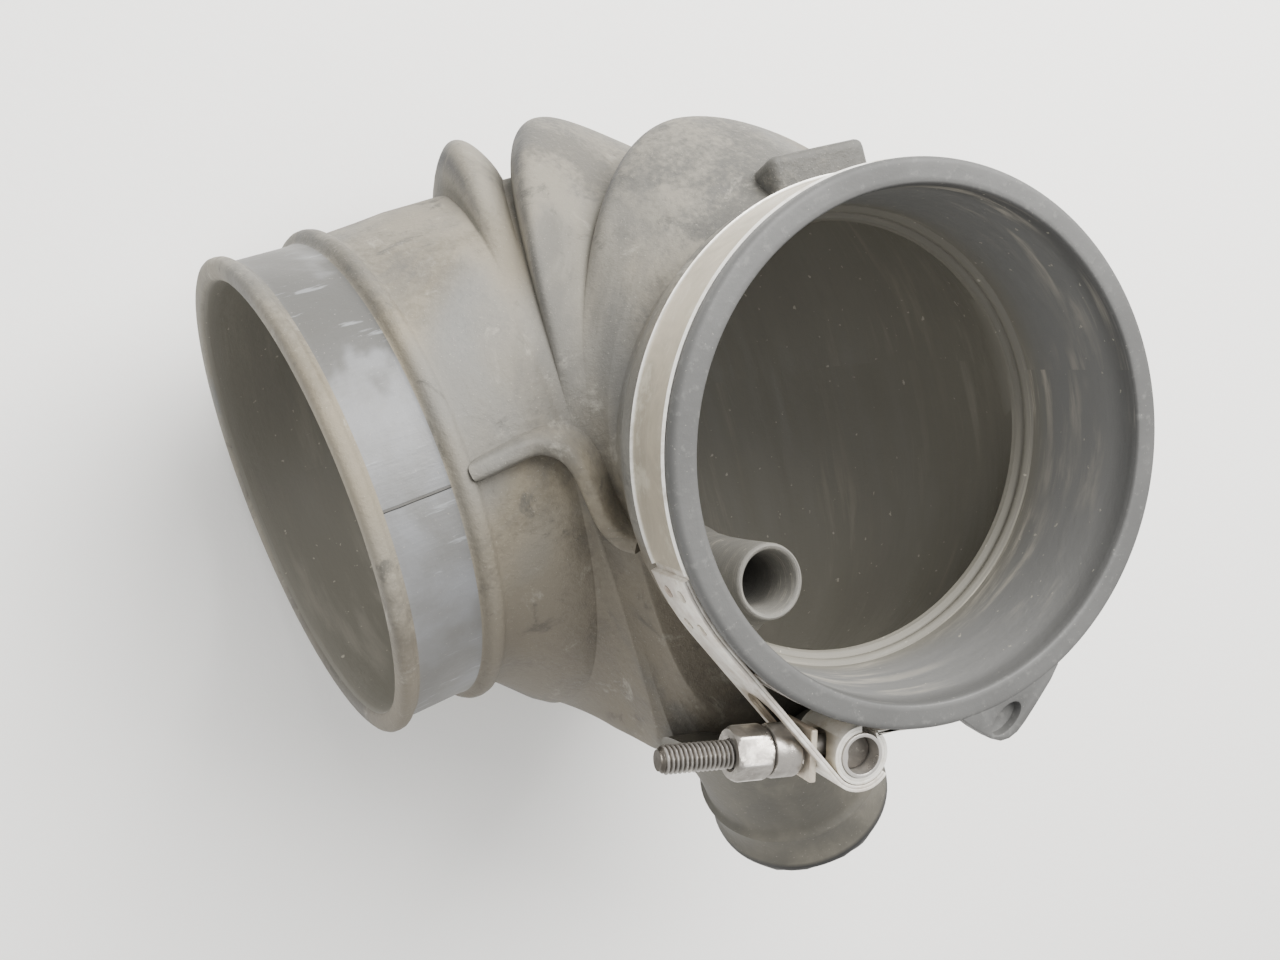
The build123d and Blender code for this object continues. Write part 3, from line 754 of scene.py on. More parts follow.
def boot_surfaces(boot, settings):
    """Gives each zone of the boot its own rubber: outside, lip, socket and worn inlet seat."""
    for key in ("outside", "lip", "socket", "seat"):
        boot.data.materials.append(MATERIALS[key])
    outside, lip, socket, seat = range(4)
    count = len(boot_rows(settings)) - 1
    uv = boot.data.uv_layers[0].data
    leg_start = len(cuff_rows()) + BEND_ROWS
    inside_start = leg_start + len(leg_rows())
    for polygon in boot.data.polygons:
        loops = polygon.loop_indices
        row = sum(uv[i].uv.y for i in loops) / len(loops) * count
        if row < LIP_ROWS or row > count - 1.6:
            polygon.material_index = lip
        elif row >= inside_start - 2:
            polygon.material_index = socket
        elif SEAT_ROWS[0] <= row - leg_start <= SEAT_ROWS[1]:
            polygon.material_index = seat
        else:
            polygon.material_index = outside


# ---- operators: the boot ----------------

class INTAKE_OT_boot(bpy.types.Operator):
    """Moulded rubber elbow from the outlet lip to the inlet lip, with its folds"""
    bl_idname = "intake.boot"
    bl_label = "Boot"

    def execute(self, context):
        settings = context.scene.boot_settings
        boot = build_boot(settings)
        boot.data.materials.clear()
        boot_surfaces(boot, settings)
        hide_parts("outlet_cuff", "bellows", "inlet_cuff")
        bend_with_inlet(boot)
        return {"FINISHED"}


def root_depths(start, offsets, direction, radius, surface):
    """How deep each column of a tube runs before it meets a surface, evened out."""
    shallowest, deepest = 0.023, 0.052
    depths = []
    for offset in offsets:
        hit = surface.ray_cast(start + offset * radius, -direction)[0]
        depth = (hit - start).dot(-direction) if hit else deepest
        depths.append(min(max(depth, shallowest), deepest))
    count = len(depths)
    for _ in range(3):
        depths = [(depths[c - 1] + 2 * depths[c] + depths[(c + 1) % count]) / 4
                  for c in range(count)]
    return depths


class INTAKE_OT_side_branch(bpy.types.Operator):
    """Angled branch with a bead and a trimmed, slightly ragged end"""
    bl_idname = "intake.side_branch"
    bl_label = "Side branch"

    def execute(self, context):
        boot = bpy.data.objects["boot"]
        surface = BVHTree.FromObject(boot, bpy.context.evaluated_depsgraph_get())
        columns = 72
        radius = 22.0
        cuff_radius = 54 * MM
        outward = ring_round(BRANCH_DIRECTION)
        offsets = [outward(column / columns * TAU) for column in range(columns)]
        depths = root_depths(BRANCH_END, offsets, BRANCH_DIRECTION, 22.2 * MM, surface)
        hit = surface.ray_cast(BRANCH_END, -BRANCH_DIRECTION)[0]
        floor = (hit - BRANCH_END).dot(-BRANCH_DIRECTION) / MM
        # distance from the end and radius, up the bore and down the outside; the root follows
        rings = [(floor - 1.5, 18.4), (20, 18.5), (17, 18.6), (10, 18.6), (4, 18.65),
                 (1.6, 18.8), (0.8, 19.1)]
        rings += [(0.5, 19.6), (0.05, 20.4), (0.0, 21.4), (0.4, 22.4), (1.2, 22.8), (2.2, 22.9),
                  (3.4, 22.6), (4.4, 22.15), (8, 21.9), (12.2, 21.9), (12.8, 22.1),
                  (13.2, 22.9), (13.8, 23.3), (14.4, 23.0), (15.0, 22.2), (16.4, radius)]
        root = [0.0, 0.25, 0.5, 0.7, 0.84, 0.93, 1.0, 1.06]
        rows = len(rings) + len(root) + 1

        def ragged(turn):
            return 0.35 * MM * (math.sin(7 * turn) + 0.6 * math.sin(17 * turn + 1)
                                + 0.4 * math.sin(41 * turn))

        def place(u, v):
            column = round(u * columns) % columns
            row = round(v * rows) - 1
            if row == -1:
                return BRANCH_END - BRANCH_DIRECTION * (floor - 1.4) * MM
            if row == rows - 1:
                return BRANCH_END - BRANCH_DIRECTION * (floor + 2) * MM
            if row < len(rings):
                back, r = rings[row]
            else:
                t = root[row - len(rings)]
                back = mix(17 * MM, depths[column] + 1.6 * MM, t) / MM
                r = radius + 2.0 * t ** 2 + 3.0 * t ** 5
            jitter = ragged(u * TAU) if back < 0.6 else 0.0
            point = (BRANCH_END - BRANCH_DIRECTION * (back * MM - jitter)
                     + offsets[column] * r * MM)
            # the root stays within the cuff's wall
            away = math.hypot(point.x, point.y)
            if point.z > -CUFF_DEPTH - 1 * MM and away < cuff_radius:
                point.x *= cuff_radius / away
                point.y *= cuff_radius / away
            return point

        def cut_end(co):
            return 1.0 if (co - BRANCH_END).dot(-BRANCH_DIRECTION) < 2.3 * MM else 0.0

        branch = wrapped_grid("branch", columns, rows, place)
        soften(branch, 50)
        paint(branch, rub=cut_end)
        finish_piece(branch, "root", "branch", "boot_rubber", "side_branch")
        return {"FINISHED"}


class INTAKE_OT_inner_nozzle(bpy.types.Operator):
    """Short nozzle inside the outlet with the fairing that carries it"""
    bl_idname = "intake.inner_nozzle"
    bl_label = "Inner nozzle"

    def execute(self, context):
        # distance from the end and radius, up the bore and down the outside, in mm
        profile = [(22, 0.0), (22, 2.8), (15, 3.2), (13, 4.6), (9, 5.6), (5, 6.3), (2, 6.8),
                   (0.8, 7.05), (0.2, 7.4), (0.0, 7.9), (0.2, 8.3), (0.9, 8.55), (2.5, 8.6),
                   (6, 8.7), (12, 8.9), (20, 9.4), (28, 10.4), (34, 12.0)]
        rows = len(profile) - 1
        to_wall = Vector((-0.62, -0.78, 0)).normalized()
        outward = ring_round(NOZZLE_DIRECTION)

        def place(u, v):
            back, r = profile[round(v * rows)]
            offset = outward(u * TAU)
            # the back of the tube spreads towards the wall
            spread = max(0.0, offset.dot(to_wall)) ** 1.6 if r > 8.0 else 0.0
            lean = ease((back - 3) / 16) * 22 * MM * spread
            return NOZZLE_END - NOZZLE_DIRECTION * back * MM + offset * r * MM + to_wall * lean

        # painted shade inside the nozzle's bore, darker further in
        def hole(co):
            back = (NOZZLE_END - co).dot(NOZZLE_DIRECTION)
            away = (co - NOZZLE_END + NOZZLE_DIRECTION * back).length
            return ease((back - 3 * MM) / (9 * MM)) if away < 7 * MM else 0.0

        nozzle = wrapped_grid("nozzle", 64, rows, place)
        soften(nozzle, 45)
        # the nozzle shares the socket's painted light, half way to its deeper tone, with painted
        # shade in its bore
        paint(nozzle, deep=0.55, hole=hole, streaks=0.9)
        finish_piece(nozzle, "root", "socket", "boot_rubber", "inner_nozzle")
        return {"FINISHED"}


def smooth_path(knots, parts):
    """A curve through every knot, with a number of points from each to the next."""
    path = []
    for index in range(len(knots) - 1):
        before = knots[max(index - 1, 0)]
        after = knots[min(index + 2, len(knots) - 1)]
        here, there = knots[index], knots[index + 1]
        for k in range(parts):
            t = k / parts
            path.append(0.5 * (2 * here + (there - before) * t
                               + (2 * before - 5 * here + 4 * there - after) * t * t
                               + (3 * here - before - 3 * there + after) * t ** 3))
    return path + [knots[-1]]


class INTAKE_OT_web(bpy.types.Operator):
    """Raised web along the mould's parting line in the inner corner of the bend"""
    bl_idname = "intake.web"
    bl_label = "Crotch web"

    def execute(self, context):
        inward = Vector((0.656, 0, -0.755))
        # the web's outer edge, from the inlet's ridge to the outlet cuff's shoulder, in mm
        edge = ((-83, 20.4, -39.4), (-79, 20.9, -38.6), (-75, 21.4, -38.2), (-71, 21.6, -38.0),
                (-67, 20.6, -38.0), (-63.4, 17.6, -37.8), (-61.6, 13.0, -37.2),
                (-61.0, 7.2, -36.4), (-60.6, 1.6, -35.0), (-59.0, -2.6, -32.5),
                (-56.5, -4.5, -30.5))
        path = smooth_path([Vector(p) * MM for p in edge], 8)
        last = len(path) - 1
        # half width and depth round the web's section, in mm
        section = [(-3.2, 12), (-2.5, 5), (-2.0, 2.2), (-1.8, 1.0), (-1.4, 0.3), (-0.7, 0),
                   (0.7, 0), (1.4, 0.3), (1.8, 1.0), (2.0, 2.2), (2.5, 5), (3.2, 12),
                   (-3.2, 12)]

        def place(u, v):
            index = round(u * last)
            along = (path[min(index + 1, last)] - path[max(index - 1, 0)]).normalized()
            across = along.cross(inward).normalized()
            width, depth = section[round(v * (len(section) - 1))]
            return path[index] + across * width * MM + inward * depth * MM

        web = wrapped_grid("web", last, len(section) - 1, place)
        cap_ends(web)
        soften(web, 50)
        paint(web, rub=0.0, crease=0.0)
        web.data.materials.clear()
        web.data.materials.append(MATERIALS["outside"])
        bend_with_inlet(web)
        return {"FINISHED"}


class INTAKE_OT_rib(bpy.types.Operator):
    """Block rib moulded behind the outlet cuff"""
    bl_idname = "intake.rib"
    bl_label = "Stiffening rib"

    def execute(self, context):
        low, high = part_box("stiffening_rib")
        start_fresh()
        middle = (Vector(low) + Vector(high)) / 2
        bpy.ops.mesh.primitive_cube_add(size=1, location=middle)
        rib = named("rib")
        rib.scale = Vector(high) - Vector(low)
        set_place(rib)
        for vertex in rib.data.vertices:
            if vertex.co.z < middle.z:
                vertex.co.y -= 4 * MM
            if vertex.co.x > middle.x:
                vertex.co.y -= 1.5 * MM
        edit(rib, lambda: bpy.ops.mesh.subdivide(number_cuts=4))
        rounded_edges(rib, 2.2 * MM, 4)
        soften(rib, 40)
        paint(rib, rub=0.0, crease=0.0)
        finish_piece(rib, "root", "outside", "boot_rubber", "stiffening_rib")
        return {"FINISHED"}


class INTAKE_OT_lug(bpy.types.Operator):
    """Pocket lug on the outside of the outlet lip"""
    bl_idname = "intake.lug"
    bl_label = "Locating lug"

    def execute(self, context):
        # outline from the lip's right side, round the tip and back to the lip, in mm
        outline = ((17.5, -54.4), (14.4, -57.3), (9.2, -61.0), (5.6, -63.4), (3.2, -64.7),
                   (0.9, -65.2), (-1.2, -64.9), (-3.4, -63.4), (-6.2, -60.2), (-9.0, -56.4),
                   (-3.0, -55.2), (6.0, -54.8))
        down = (0, 0, -4.2 * MM)
        start_fresh()
        bpy.ops.mesh.primitive_circle_add(vertices=len(outline), radius=1, fill_type="NGON")
        lug = named("lug")
        for vertex, (x, y) in zip(lug.data.vertices, outline):
            vertex.co = Vector((x, y, -0.25)) * MM
        edit(lug, lambda: bpy.ops.mesh.extrude_region_move(
            TRANSFORM_OT_translate={"value": down}))
        cap_ends(lug)
        pocket = Vector((1.4, -60.7, 0)) * MM
        start_fresh()
        bpy.ops.mesh.primitive_cylinder_add(vertices=40, radius=2.5 * MM, depth=5 * MM,
                                            location=pocket)
        cutter = named("cutter")
        for vertex in cutter.data.vertices:
            vertex.co.x *= 1.75
            vertex.co.y *= 0.9
        cutter.rotation_euler = (0, 0, math.radians(24))
        set_place(cutter)
        cut_with(lug, cutter)
        rounded_edges(lug, 0.35 * MM, 2)
        soften(lug, 40)
        finish_piece(lug, "root", "lip", "lip_rubber", "locating_lug")
        return {"FINISHED"}


# ---- operators: the clamp ----------------

def ring_strip(name, profile, start, end, columns):
    """A closed profile of (radius, z) points, in metres, swept round the outlet axis."""
    points = list(profile) + [profile[0]]
    rows = len(points) - 1

    def place(u, v):
        radius, z = points[round(v * rows)]
        return polar(radius, mix(start, end, u), z)

    obj = wrapped_grid(name, columns, rows, place)
    cap_ends(obj)
    return obj


def flat_profile(inside, thickness, half):
    """The section of a flat sheet that lies round the outlet axis."""
    low, high = BAND_MIDDLE - half, BAND_MIDDLE + half
    return [(inside, low), (inside, high), (inside + thickness, high), (inside + thickness, low)]


def worn_edges(start, width, share=1.0):
    """Paints both edges of a sheet of the clamp, from a distance off its middle."""
    return lambda co: ease((abs(co.z - BAND_MIDDLE) - start) / width) * share


class INTAKE_OT_band(bpy.types.Operator):
    """Sheet band round the outlet cuff, with both edges flared outwards"""
    bl_idname = "intake.band"
    bl_label = "Clamp band"

    def execute(self, context):
        t = context.scene.clamp_settings.band_thickness
        inside = BAND_INSIDE + 0.02 * MM
        half = 8.75 * MM
        flare = 1.75 * MM
        shoulder = BAND_MIDDLE + half - 1.7 * MM
        turns = [k / 6 * 1.15 for k in range(7)]
        top = [(inside + flare * (1 - math.cos(a)) * 1.02, shoulder + flare * math.sin(a) * 1.03)
               for a in turns]
        for a in reversed(turns):
            lip = 0.1 * MM if a == turns[-1] else 0.0
            top.append((inside + t + (flare - t) * (1 - math.cos(a)) + lip,
                        shoulder + (flare - t * 0.9) * math.sin(a)))
        loop = top + [(r, 2 * BAND_MIDDLE - z) for r, z in reversed(top)]
        band = ring_strip("band", loop, TRUNNION_ANGLE + math.radians(34.0),
                          STRAP_ANGLE - math.radians(17.0) + TAU, 220)
        rust_at = math.radians(278)

        def rust(co):
            return ease((math.cos(math.atan2(co.y, co.x) - rust_at) - 0.86) / 0.1)

        paint(band, edge=worn_edges(half - 1.35 * MM, 0.7 * MM), rust=rust)
        soften(band, 30)
        # the unflared ends that lie under the straps
        pieces = [band]
        flat = flat_profile(inside, t, half - 0.9 * MM)
        for name, angle, before, after in (("band_left", STRAP_ANGLE, 17.4, 12.0),
                                           ("band_right", TRUNNION_ANGLE, 1.0, 34.4)):
            lap = ring_strip(name, flat, angle - math.radians(before),
                             angle + math.radians(after), 40)
            rounded_edges(lap, 0.15 * MM, 2)
            paint(lap, edge=worn_edges(7.1 * MM, 0.6 * MM, 0.6),
                  rust=lambda co: 0.9 if co.y < -0.05 else 0.2)
            soften(lap, 30)
            pieces.append(lap)
        band = join_all("band", pieces)
        finish_piece(band, "root", "zinc", "band_zinc", "clamp_band")
        return {"FINISHED"}


class INTAKE_OT_tongue(bpy.types.Operator):
    """Thin sheet that spans the band's gap"""
    bl_idname = "intake.tongue"
    bl_label = "Bridge tongue"

    def execute(self, context):
        flat = flat_profile(BAND_OUTSIDE + 0.03 * MM, 0.45 * MM, 6.2 * MM)
        tongue = ring_strip("tongue", flat, STRAP_ANGLE + math.radians(9.2),
                            TRUNNION_ANGLE + math.radians(9.7), 48)
        rounded_edges(tongue, 0.12 * MM, 2)
        soften(tongue, 30)
        paint(tongue, edge=worn_edges(5.8 * MM, 0.3 * MM), rust=0.35)
        finish_piece(tongue, "root", "zinc", "band_zinc", "bridge_tongue")
        return {"FINISHED"}


def strap_sheet(name, path, thickness):
    """A flat strap of even thickness whose middle follows points in the plane of the clamp."""
    last = len(path) - 1
    corners = [(-0.5, -0.5), (0.5, -0.5), (0.5, 0.5), (-0.5, 0.5), (-0.5, -0.5)]

    def place(u, v):
        index = round(u * last)
        tangent = (path[min(index + 1, last)] - path[max(index - 1, 0)]).normalized()
        across, up = corners[round(v * 4)]
        point = path[index] + Vector((tangent.y, -tangent.x, 0)) * across * thickness
        return Vector((point.x, point.y, BAND_MIDDLE + up * STRAP_WIDTH))

    obj = wrapped_grid(name, last, 4, place)
    cap_ends(obj)
    return obj


def slot_cutter(middle, along, out, length, width, depth):
    """A round-ended bar that cuts a slot."""
    start_fresh()
    bpy.ops.mesh.primitive_cylinder_add(vertices=48, radius=width / 2, depth=depth)
    cutter = named("cutter")
    turn = Matrix((along, out.cross(along), out)).transposed().to_4x4()
    for vertex in cutter.data.vertices:
        if abs(vertex.co.x) > 1e-7:
            vertex.co.x += math.copysign((length - width) / 2, vertex.co.x)
    cutter.matrix_world = Matrix.Translation(middle) @ turn
    set_place(cutter)
    return cutter


def double_strap(name, path_of, t, cutter, rust, node):
    """Two layers of strap, each cut, then joined into one finished piece."""
    layers = []
    for layer in (0, 1):
        sheet = strap_sheet(f"{name}_{layer}", path_of(layer), t * 0.94)
        cut_with(sheet, cutter())
        rounded_edges(sheet, 0.1 * MM, 2, 50)
        layers.append(sheet)
    strap = join_all(name, layers)
    soften(strap, 35)
    paint(strap, edge=worn_edges(7.4 * MM, 0.5 * MM, 0.7), rust=rust)
    finish_piece(strap, "root", "strap", "strap_zinc", node)


class INTAKE_OT_slotted_strap(bpy.types.Operator):
    """Double strap that runs off the band, with the slot that the bolt passes through"""
    bl_idname = "intake.slotted_strap"
    bl_label = "Slotted strap"

    def execute(self, context):
        t = context.scene.clamp_settings.strap_thickness
        gap = 0.03 * MM
        run = (TRUNNION_CENTRE - STRAP_FROM).dot(STRAP_ALONG)
        # from the trunnion's middle to the strap's inside face
        reach = (STRAP_FROM - TRUNNION_CENTRE).dot(STRAP_OUT) + gap

        def path_of(layer):
            """Lies on the band, runs straight to the trunnion, then hooks round it."""
            rise = t * (layer + 0.5)
            path = [polar(BAND_OUTSIDE + rise + gap, STRAP_ANGLE - math.radians(a))
                    for a in (16, 12, 8, 4, 1)]
            base = Vector((STRAP_FROM.x, STRAP_FROM.y, 0)) + STRAP_OUT * (rise + gap)
            path += [base + STRAP_ALONG * run * k / 16 for k in range(17)]
            path += [TRUNNION_CENTRE + polar(reach + rise, STRAP_ANGLE + math.radians(102) * k / 18)
                     for k in range(1, 19)]
            return path

        def cutter():
            return slot_cutter(STRAP_FROM + STRAP_ALONG * 26.3 * MM, STRAP_ALONG, STRAP_OUT,
                               21.6 * MM, 11.0 * MM, 6 * MM)

        double_strap("slotted_strap_sheet", path_of, t, cutter, 0.25, "slotted_strap")
        return {"FINISHED"}


class INTAKE_OT_saddle(bpy.types.Operator):
    """Plate across the slot that the collar bears on"""
    bl_idname = "intake.saddle"
    bl_label = "Saddle"

    def execute(self, context):
        middle = BOLT_FROM + BOLT_ALONG * 10.1 * MM
        across = BOLT_ALONG.cross(CLAMP_AXIS)
        turn = Matrix((CLAMP_AXIS, across, BOLT_ALONG)).transposed().to_4x4()
        start_fresh()
        bpy.ops.mesh.primitive_cube_add(size=1)
        plate = named("saddle_plate")
        plate.matrix_world = (Matrix.Translation(middle) @ turn
                              @ Matrix.Diagonal((12.3 * MM, 11.0 * MM, 1.5 * MM, 1)))
        set_place(plate)
        cut_with(plate, slot_cutter(middle, CLAMP_AXIS.cross(BOLT_ALONG), BOLT_ALONG,
                                    9.2 * MM, 6.8 * MM, 6 * MM))
        rounded_edges(plate, 0.35 * MM, 3)
        soften(plate, 35)
        paint(plate, edge=0.15, rust=0.3)
        finish_piece(plate, "root", "strap", "strap_zinc", "saddle")
        return {"FINISHED"}


class INTAKE_OT_trunnion_strap(bpy.types.Operator):
    """Strap that lies on the band and loops round the bolt's trunnion"""
    bl_idname = "intake.trunnion_strap"
    bl_label = "Trunnion strap"

    def execute(self, context):
        t = context.scene.clamp_settings.strap_thickness
        inner_radius = 4.78 * MM + t * 0.5
        out = polar(1.0, TRUNNION_ANGLE)
        back = polar(-1.0, TRUNNION_ANGLE - TAU / 4)

        def path_of(layer):
            """Lies on the band up to the trunnion, then loops round it."""
            r = inner_radius + layer * t
            on_band = BAND_OUTSIDE + t * (layer + 0.5) + 0.04 * MM
            path = [polar(on_band, TRUNNION_ANGLE + math.radians(a))
                    for a in (33, 28, 23, 18, 14.5, 12)]
            for k in range(33):
                a = math.radians(mix(-62, 258, k / 32))
                path.append(TRUNNION_CENTRE + back * math.cos(a) * r + out * math.sin(a) * r)
            return path

        def cutter():
            return slot_cutter(BOLT_FROM + BOLT_ALONG * 6 * MM, CLAMP_AXIS, BOLT_ALONG,
                               8.4 * MM, 7.4 * MM, 8.5 * MM)

        double_strap("trunnion_loop", path_of, t, cutter,
                     lambda co: ease((co.x + 0.024) / 0.01) * 0.8, "trunnion_strap")
        return {"FINISHED"}


class INTAKE_OT_trunnion(bpy.types.Operator):
    """Rolled sheet tube across the clamp, pinched into a seam on the bolt's side"""
    bl_idname = "intake.trunnion"
    bl_label = "Bolt trunnion"

    def execute(self, context):
        r = 4.68 * MM
        t = 0.8 * MM
        half = 8.45 * MM
        profile = [(0, -half), (0, half), (-t, half), (-t, -half), (0, -half)]
        side = polar(1.0, BOLT_ANGLE + TAU / 4)

        def place(u, v):
            turn = u * TAU
            change, z = profile[round(v * 4)]
            pinch = math.exp(-((1 - math.cos(turn)) / 0.05))
            radius = r + change - (0.5 * MM * pinch if change < 0 else 0)
            direction = BOLT_ALONG * math.cos(turn) + side * math.sin(turn)
            point = TRUNNION_CENTRE + direction * radius
            return Vector((point.x, point.y, BAND_MIDDLE + z))

        trunnion = wrapped_grid("trunnion_tube", 72, 4, place)
        rounded_edges(trunnion, 0.14 * MM, 2, 50)
        soften(trunnion, 35)
        paint(trunnion, edge=worn_edges(8.2 * MM, 0.2 * MM, 0.7), grime=0.35)
        finish_piece(trunnion, "bolt", "nut", "bolt_steel", "bolt_trunnion")
        return {"FINISHED"}


class INTAKE_OT_bolt(bpy.types.Operator):
    """Shank and threaded end of the clamp's bolt, with its cross bar"""
    bl_idname = "intake.bolt"
    bl_label = "T-bolt"

    def execute(self, context):
        settings = context.scene.clamp_settings
        pitch = settings.thread_pitch
        depth = settings.thread_depth
        crest = 2.98 * MM
        start = 15 * MM
        end = 42 * MM
        rows_per_turn = 10
        rows = int((end - start) / pitch * rows_per_turn) + 8
        # distance and radius of the closed ends, by row
        ends = {0: (2 * MM, 0.0), 1: (2 * MM, 2.6 * MM),
                rows - 1: (end - 0.05 * MM, 1.9 * MM), rows: (end - 0.25 * MM, 0.0)}

        def place(u, v):
            row = round(v * rows)
            turn = u * TAU
            if row in ends:
                return at_bolt(*ends[row], turn)
            along = mix(start - 0.4 * MM, end - 0.1 * MM, (row - 2) / (rows - 4))
            phase = (along / pitch - turn / TAU) % 1.0
            ridge = abs(phase - 0.5) * 2
            ridge = min(max((ridge - 0.12) / 0.76, 0), 1)
            # the thread runs out at its root and is turned down at its tip
            fade = ease((along - start) / (1.4 * MM))
            radius = mix(2.62 * MM, crest - depth * ridge, fade)
            tip = ease((end - 0.2 * MM - along) / (1.3 * MM))
            return at_bolt(along, min(radius, mix(2.15 * MM, crest, tip)), turn)

        def grime(co):
            along, radius = from_bolt(co)
            return ease((crest - radius - 0.1 * MM) / (0.4 * MM)) if along > start else 0.2

        bolt = wrapped_grid("bolt_thread", 48, rows, place)
        soften(bolt, 45)
        paint(bolt, grime=grime, edge=lambda co: 0.25 * (1 - grime(co)))
        start_fresh()
        bpy.ops.mesh.primitive_cylinder_add(vertices=48, radius=3.85 * MM, depth=9.6 * MM,
                                            location=BOLT_FROM)
        bar = named("bar")
        set_place(bar)
        rounded_edges(bar, 0.5 * MM, 3)
        paint(bar, grime=0.5, edge=0.0)
        soften(bar, 35)
        bolt = join_all("bolt_thread", [bolt, bar])
        finish_piece(bolt, "bolt", "bolt", "bolt_steel", "t_bolt")
        return {"FINISHED"}


class INTAKE_OT_collar(bpy.types.Operator):
    """Plain sleeve between the nut and the saddle"""
    bl_idname = "intake.collar"
    bl_label = "Collar"

    def execute(self, context):
        start = 11.9
        end = 18.0
        # radius and distance from the trunnion, round the section, in mm
        section = [(3.15, start + 0.3), (3.5, start), (4.9, start), (5.4, start + 0.25),
                   (5.6, start + 0.8), (5.6, start + 2.6), (5.52, start + 3.0),
                   (5.6, start + 3.4), (5.6, end - 0.8), (5.4, end - 0.25), (4.9, end),
                   (3.5, end), (3.15, end - 0.3), (3.15, start + 0.3)]
        rows = len(section) - 1

        def place(u, v):
            radius, along = section[round(v * rows)]
            return at_bolt(along * MM, radius * MM, u * TAU)

        collar = wrapped_grid("collar_sleeve", 80, rows, place)
        soften(collar, 40)
        paint(collar, grime=0.12, edge=0.15)
        finish_piece(collar, "sleeve", "nut", "nut_steel", "collar")
        return {"FINISHED"}


class INTAKE_OT_nut(bpy.types.Operator):
    """Tall hexagon nut, chamfered at both ends"""
    bl_idname = "intake.nut"
    bl_label = "Nut"

    def execute(self, context):
        start = 18.3 * MM
        length = 8.0 * MM
        flats = 5.0 * MM
        corner = flats / math.cos(TAU / 12)
        rest_turn = 0.35
        # share of the length, radius limit in mm; the hexagon is the smaller of the two
        section = [(0.04, 3.1), (0.0, 3.6), (0.0, 5.0), (0.035, 5.25), (0.09, 5.55),
                   (0.16, 5.9), (0.5, 6.2), (0.84, 5.9), (0.91, 5.55), (0.965, 5.25),
                   (1.0, 5.0), (1.0, 3.6), (0.96, 3.1), (0.04, 3.1)]
        rows = len(section) - 1

        def place(u, v):
            share, limit = section[round(v * rows)]
            turn = u * TAU
            sector = (turn + TAU / 12) % (TAU / 6) - TAU / 12
            hexagon = flats / math.cos(sector)
            blunt = 0.0 if hexagon < corner * 0.985 else -0.05 * MM
            radius = min(limit * MM, hexagon * 0.995 + blunt)
            return at_bolt(start + length * share, radius, turn + rest_turn)

        nut = wrapped_grid("nut_hexagon", 144, rows, place)
        soften(nut, 22)
        paint(nut, edge=lambda co: ease((from_bolt(co)[1] - 5.45 * MM) / (0.25 * MM)) * 0.8,
              grime=0.1)
        finish_piece(nut, "clamp_nut", "nut", "nut_steel", "nut")
        return {"FINISHED"}


class INTAKE_OT_welds(bpy.types.Operator):
    """Shallow dimples of the spot welds on both straps"""
    bl_idname = "intake.welds"
    bl_label = "Spot welds"

    def execute(self, context):
        t = context.scene.clamp_settings.strap_thickness
        height = 0.16 * MM
        off_middle = 3.2 * MM
        dimples = []
        for strap, degrees in ((STRAP_ANGLE, -12), (STRAP_ANGLE, -4), (TRUNNION_ANGLE, 19),
                               (TRUNNION_ANGLE, 27)):
            angle = strap + math.radians(degrees)
            out = polar(1, angle)
            for z in (BAND_MIDDLE - off_middle, BAND_MIDDLE + off_middle):
                start_fresh()
                bpy.ops.mesh.primitive_circle_add(
                    vertices=24, radius=1.35 * MM, fill_type="NGON",
                    location=polar(BAND_OUTSIDE + 2 * t + 0.02 * MM, angle, z),
                    rotation=towards(out))
                dimple = named("dimple")
                set_place(dimple)
                edit(dimple,
                     lambda: bpy.ops.mesh.extrude_region_move(
                         TRANSFORM_OT_translate={"value": out * height}),
                     lambda: bpy.ops.mesh.inset(thickness=0.3 * MM),
                     lambda: bpy.ops.mesh.inset(thickness=0.35 * MM),
                     lambda: bpy.ops.transform.translate(value=-out * height))
                soften(dimple, 60)
                dimples.append(dimple)
        welds = join_all("weld_dimples", dimples)
        paint(welds, edge=0.3, rust=0.5)
        finish_piece(welds, "root", "strap", "strap_zinc", "spot_welds")
        return {"FINISHED"}


# ---- operator: the studio ----------------

def soft_light(name, place, aim, power, tint):
    start_fresh()
    bpy.ops.object.light_add(type="AREA", location=place)
    light = bpy.context.object
    light.name = name
    light.data.size = 0.8
    light.data.energy = power
    light.data.color = tint
    light.rotation_euler = towards(place - aim)


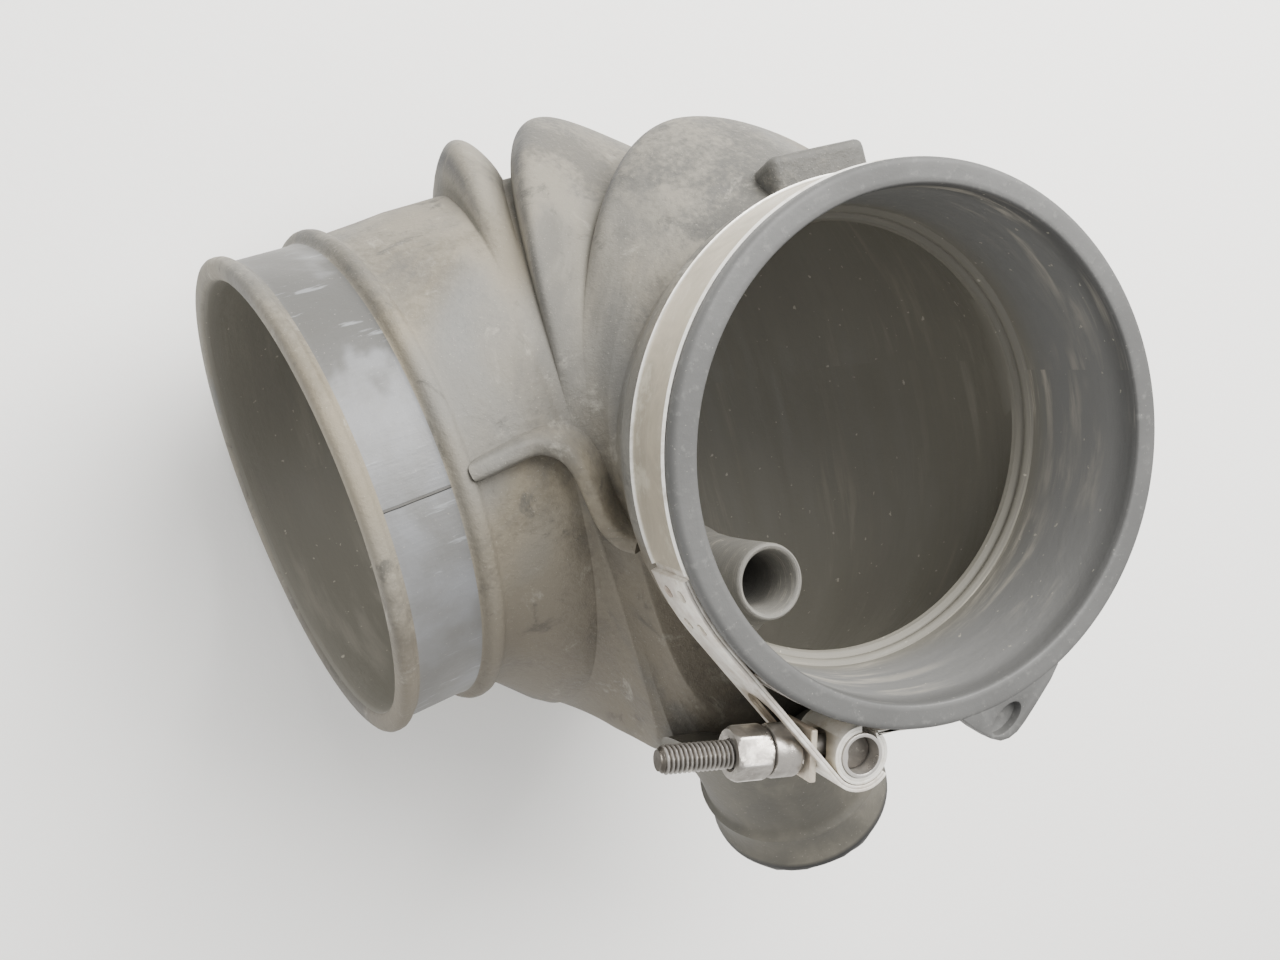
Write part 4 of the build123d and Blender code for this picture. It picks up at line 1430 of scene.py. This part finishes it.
class INTAKE_OT_stage(bpy.types.Operator):
    """Pale floor, soft light and the camera"""
    bl_idname = "intake.stage"
    bl_label = "Stage"

    def execute(self, context):
        settings = context.scene.stage_settings
        start_fresh()
        bpy.ops.mesh.primitive_plane_add(size=6, location=(0, 0, CAD_BOX[0][2] - 0.0002))
        floor = named("floor")
        s = Shader("pale_floor", 0.7)
        tint = s.blend(s.band(s.noise(3, 3), 0.3, 0.7), settings.floor,
                       toned(settings.floor, 0.985))
        floor.data.materials.append(s.finish(tint, None, (s.noise(300, 3), 0.0001)))

        # the camera's own axes, which the lights are placed by as well
        right = Vector((0.886, -0.281, 0.369))
        up = Vector((0.334, 0.939, -0.087))
        back = Vector((-0.322, 0.200, 0.9255))
        aim = Vector((-0.04, 0.0, -0.06))
        soft_light("key", aim + right * 0.50 + up * 0.50 + back * 0.55, aim, settings.key,
                   (1.0, 0.985, 0.96))
        soft_light("fill", aim - right * 0.7 - up * 0.1 + back * 0.6, aim, settings.fill,
                   (0.95, 0.98, 1.0))

        world = bpy.data.worlds.new("studio")
        world.use_nodes = True
        background = world.node_tree.nodes["Background"]
        background.inputs["Color"].default_value = (1.0, 0.99, 0.975, 1)
        background.inputs["Strength"].default_value = 1.05
        context.scene.world = world

        lens = bpy.data.cameras.new("camera")
        lens.sensor_width = 36
        lens.lens = 33.76
        lens.clip_start = 0.01
        camera = bpy.data.objects.new("camera", lens)
        context.scene.collection.objects.link(camera)
        axes = Matrix((right, up, back)).transposed().to_4x4()
        camera.matrix_world = Matrix.Translation((-0.13178, 0.05884, 0.20094)) @ axes
        context.scene.camera = camera
        return {"FINISHED"}


class INTAKE_PT_panel(bpy.types.Panel):
    """Buttons for the pieces and the stage"""
    bl_idname = "INTAKE_PT_panel"
    bl_label = "Intake elbow"
    bl_space_type = "VIEW_3D"
    bl_region_type = "UI"
    bl_category = "Intake"

    def draw(self, context):
        for operator in OPERATORS:
            self.layout.operator(operator.bl_idname)


OPERATORS = (
    INTAKE_OT_boot, INTAKE_OT_web, INTAKE_OT_side_branch, INTAKE_OT_inner_nozzle, INTAKE_OT_rib,
    INTAKE_OT_lug, INTAKE_OT_band, INTAKE_OT_tongue, INTAKE_OT_slotted_strap, INTAKE_OT_saddle,
    INTAKE_OT_trunnion_strap, INTAKE_OT_trunnion, INTAKE_OT_bolt, INTAKE_OT_collar,
    INTAKE_OT_nut, INTAKE_OT_welds, INTAKE_OT_stage,
)
CLASSES = (BootSettings, ClampSettings, StageSettings) + OPERATORS + (INTAKE_PT_panel,)


def register():
    for cls in CLASSES:
        bpy.utils.register_class(cls)
    bpy.types.Scene.boot_settings = bpy.props.PointerProperty(type=BootSettings)
    bpy.types.Scene.clamp_settings = bpy.props.PointerProperty(type=ClampSettings)
    bpy.types.Scene.stage_settings = bpy.props.PointerProperty(type=StageSettings)


def unregister():
    del bpy.types.Scene.boot_settings
    del bpy.types.Scene.clamp_settings
    del bpy.types.Scene.stage_settings
    for cls in reversed(CLASSES):
        bpy.utils.unregister_class(cls)


def main():
    register()
    make_materials(bpy.context.scene)
    bpy.ops.intake.boot()
    bpy.ops.intake.web()
    bpy.ops.intake.side_branch()
    bpy.ops.intake.inner_nozzle()
    bpy.ops.intake.rib()
    bpy.ops.intake.lug()
    bpy.ops.intake.band()
    bpy.ops.intake.tongue()
    bpy.ops.intake.slotted_strap()
    bpy.ops.intake.saddle()
    bpy.ops.intake.trunnion_strap()
    bpy.ops.intake.trunnion()
    bpy.ops.intake.bolt()
    bpy.ops.intake.collar()
    bpy.ops.intake.nut()
    bpy.ops.intake.welds()
    bpy.ops.intake.stage()


if __name__ == "__main__":
    main()
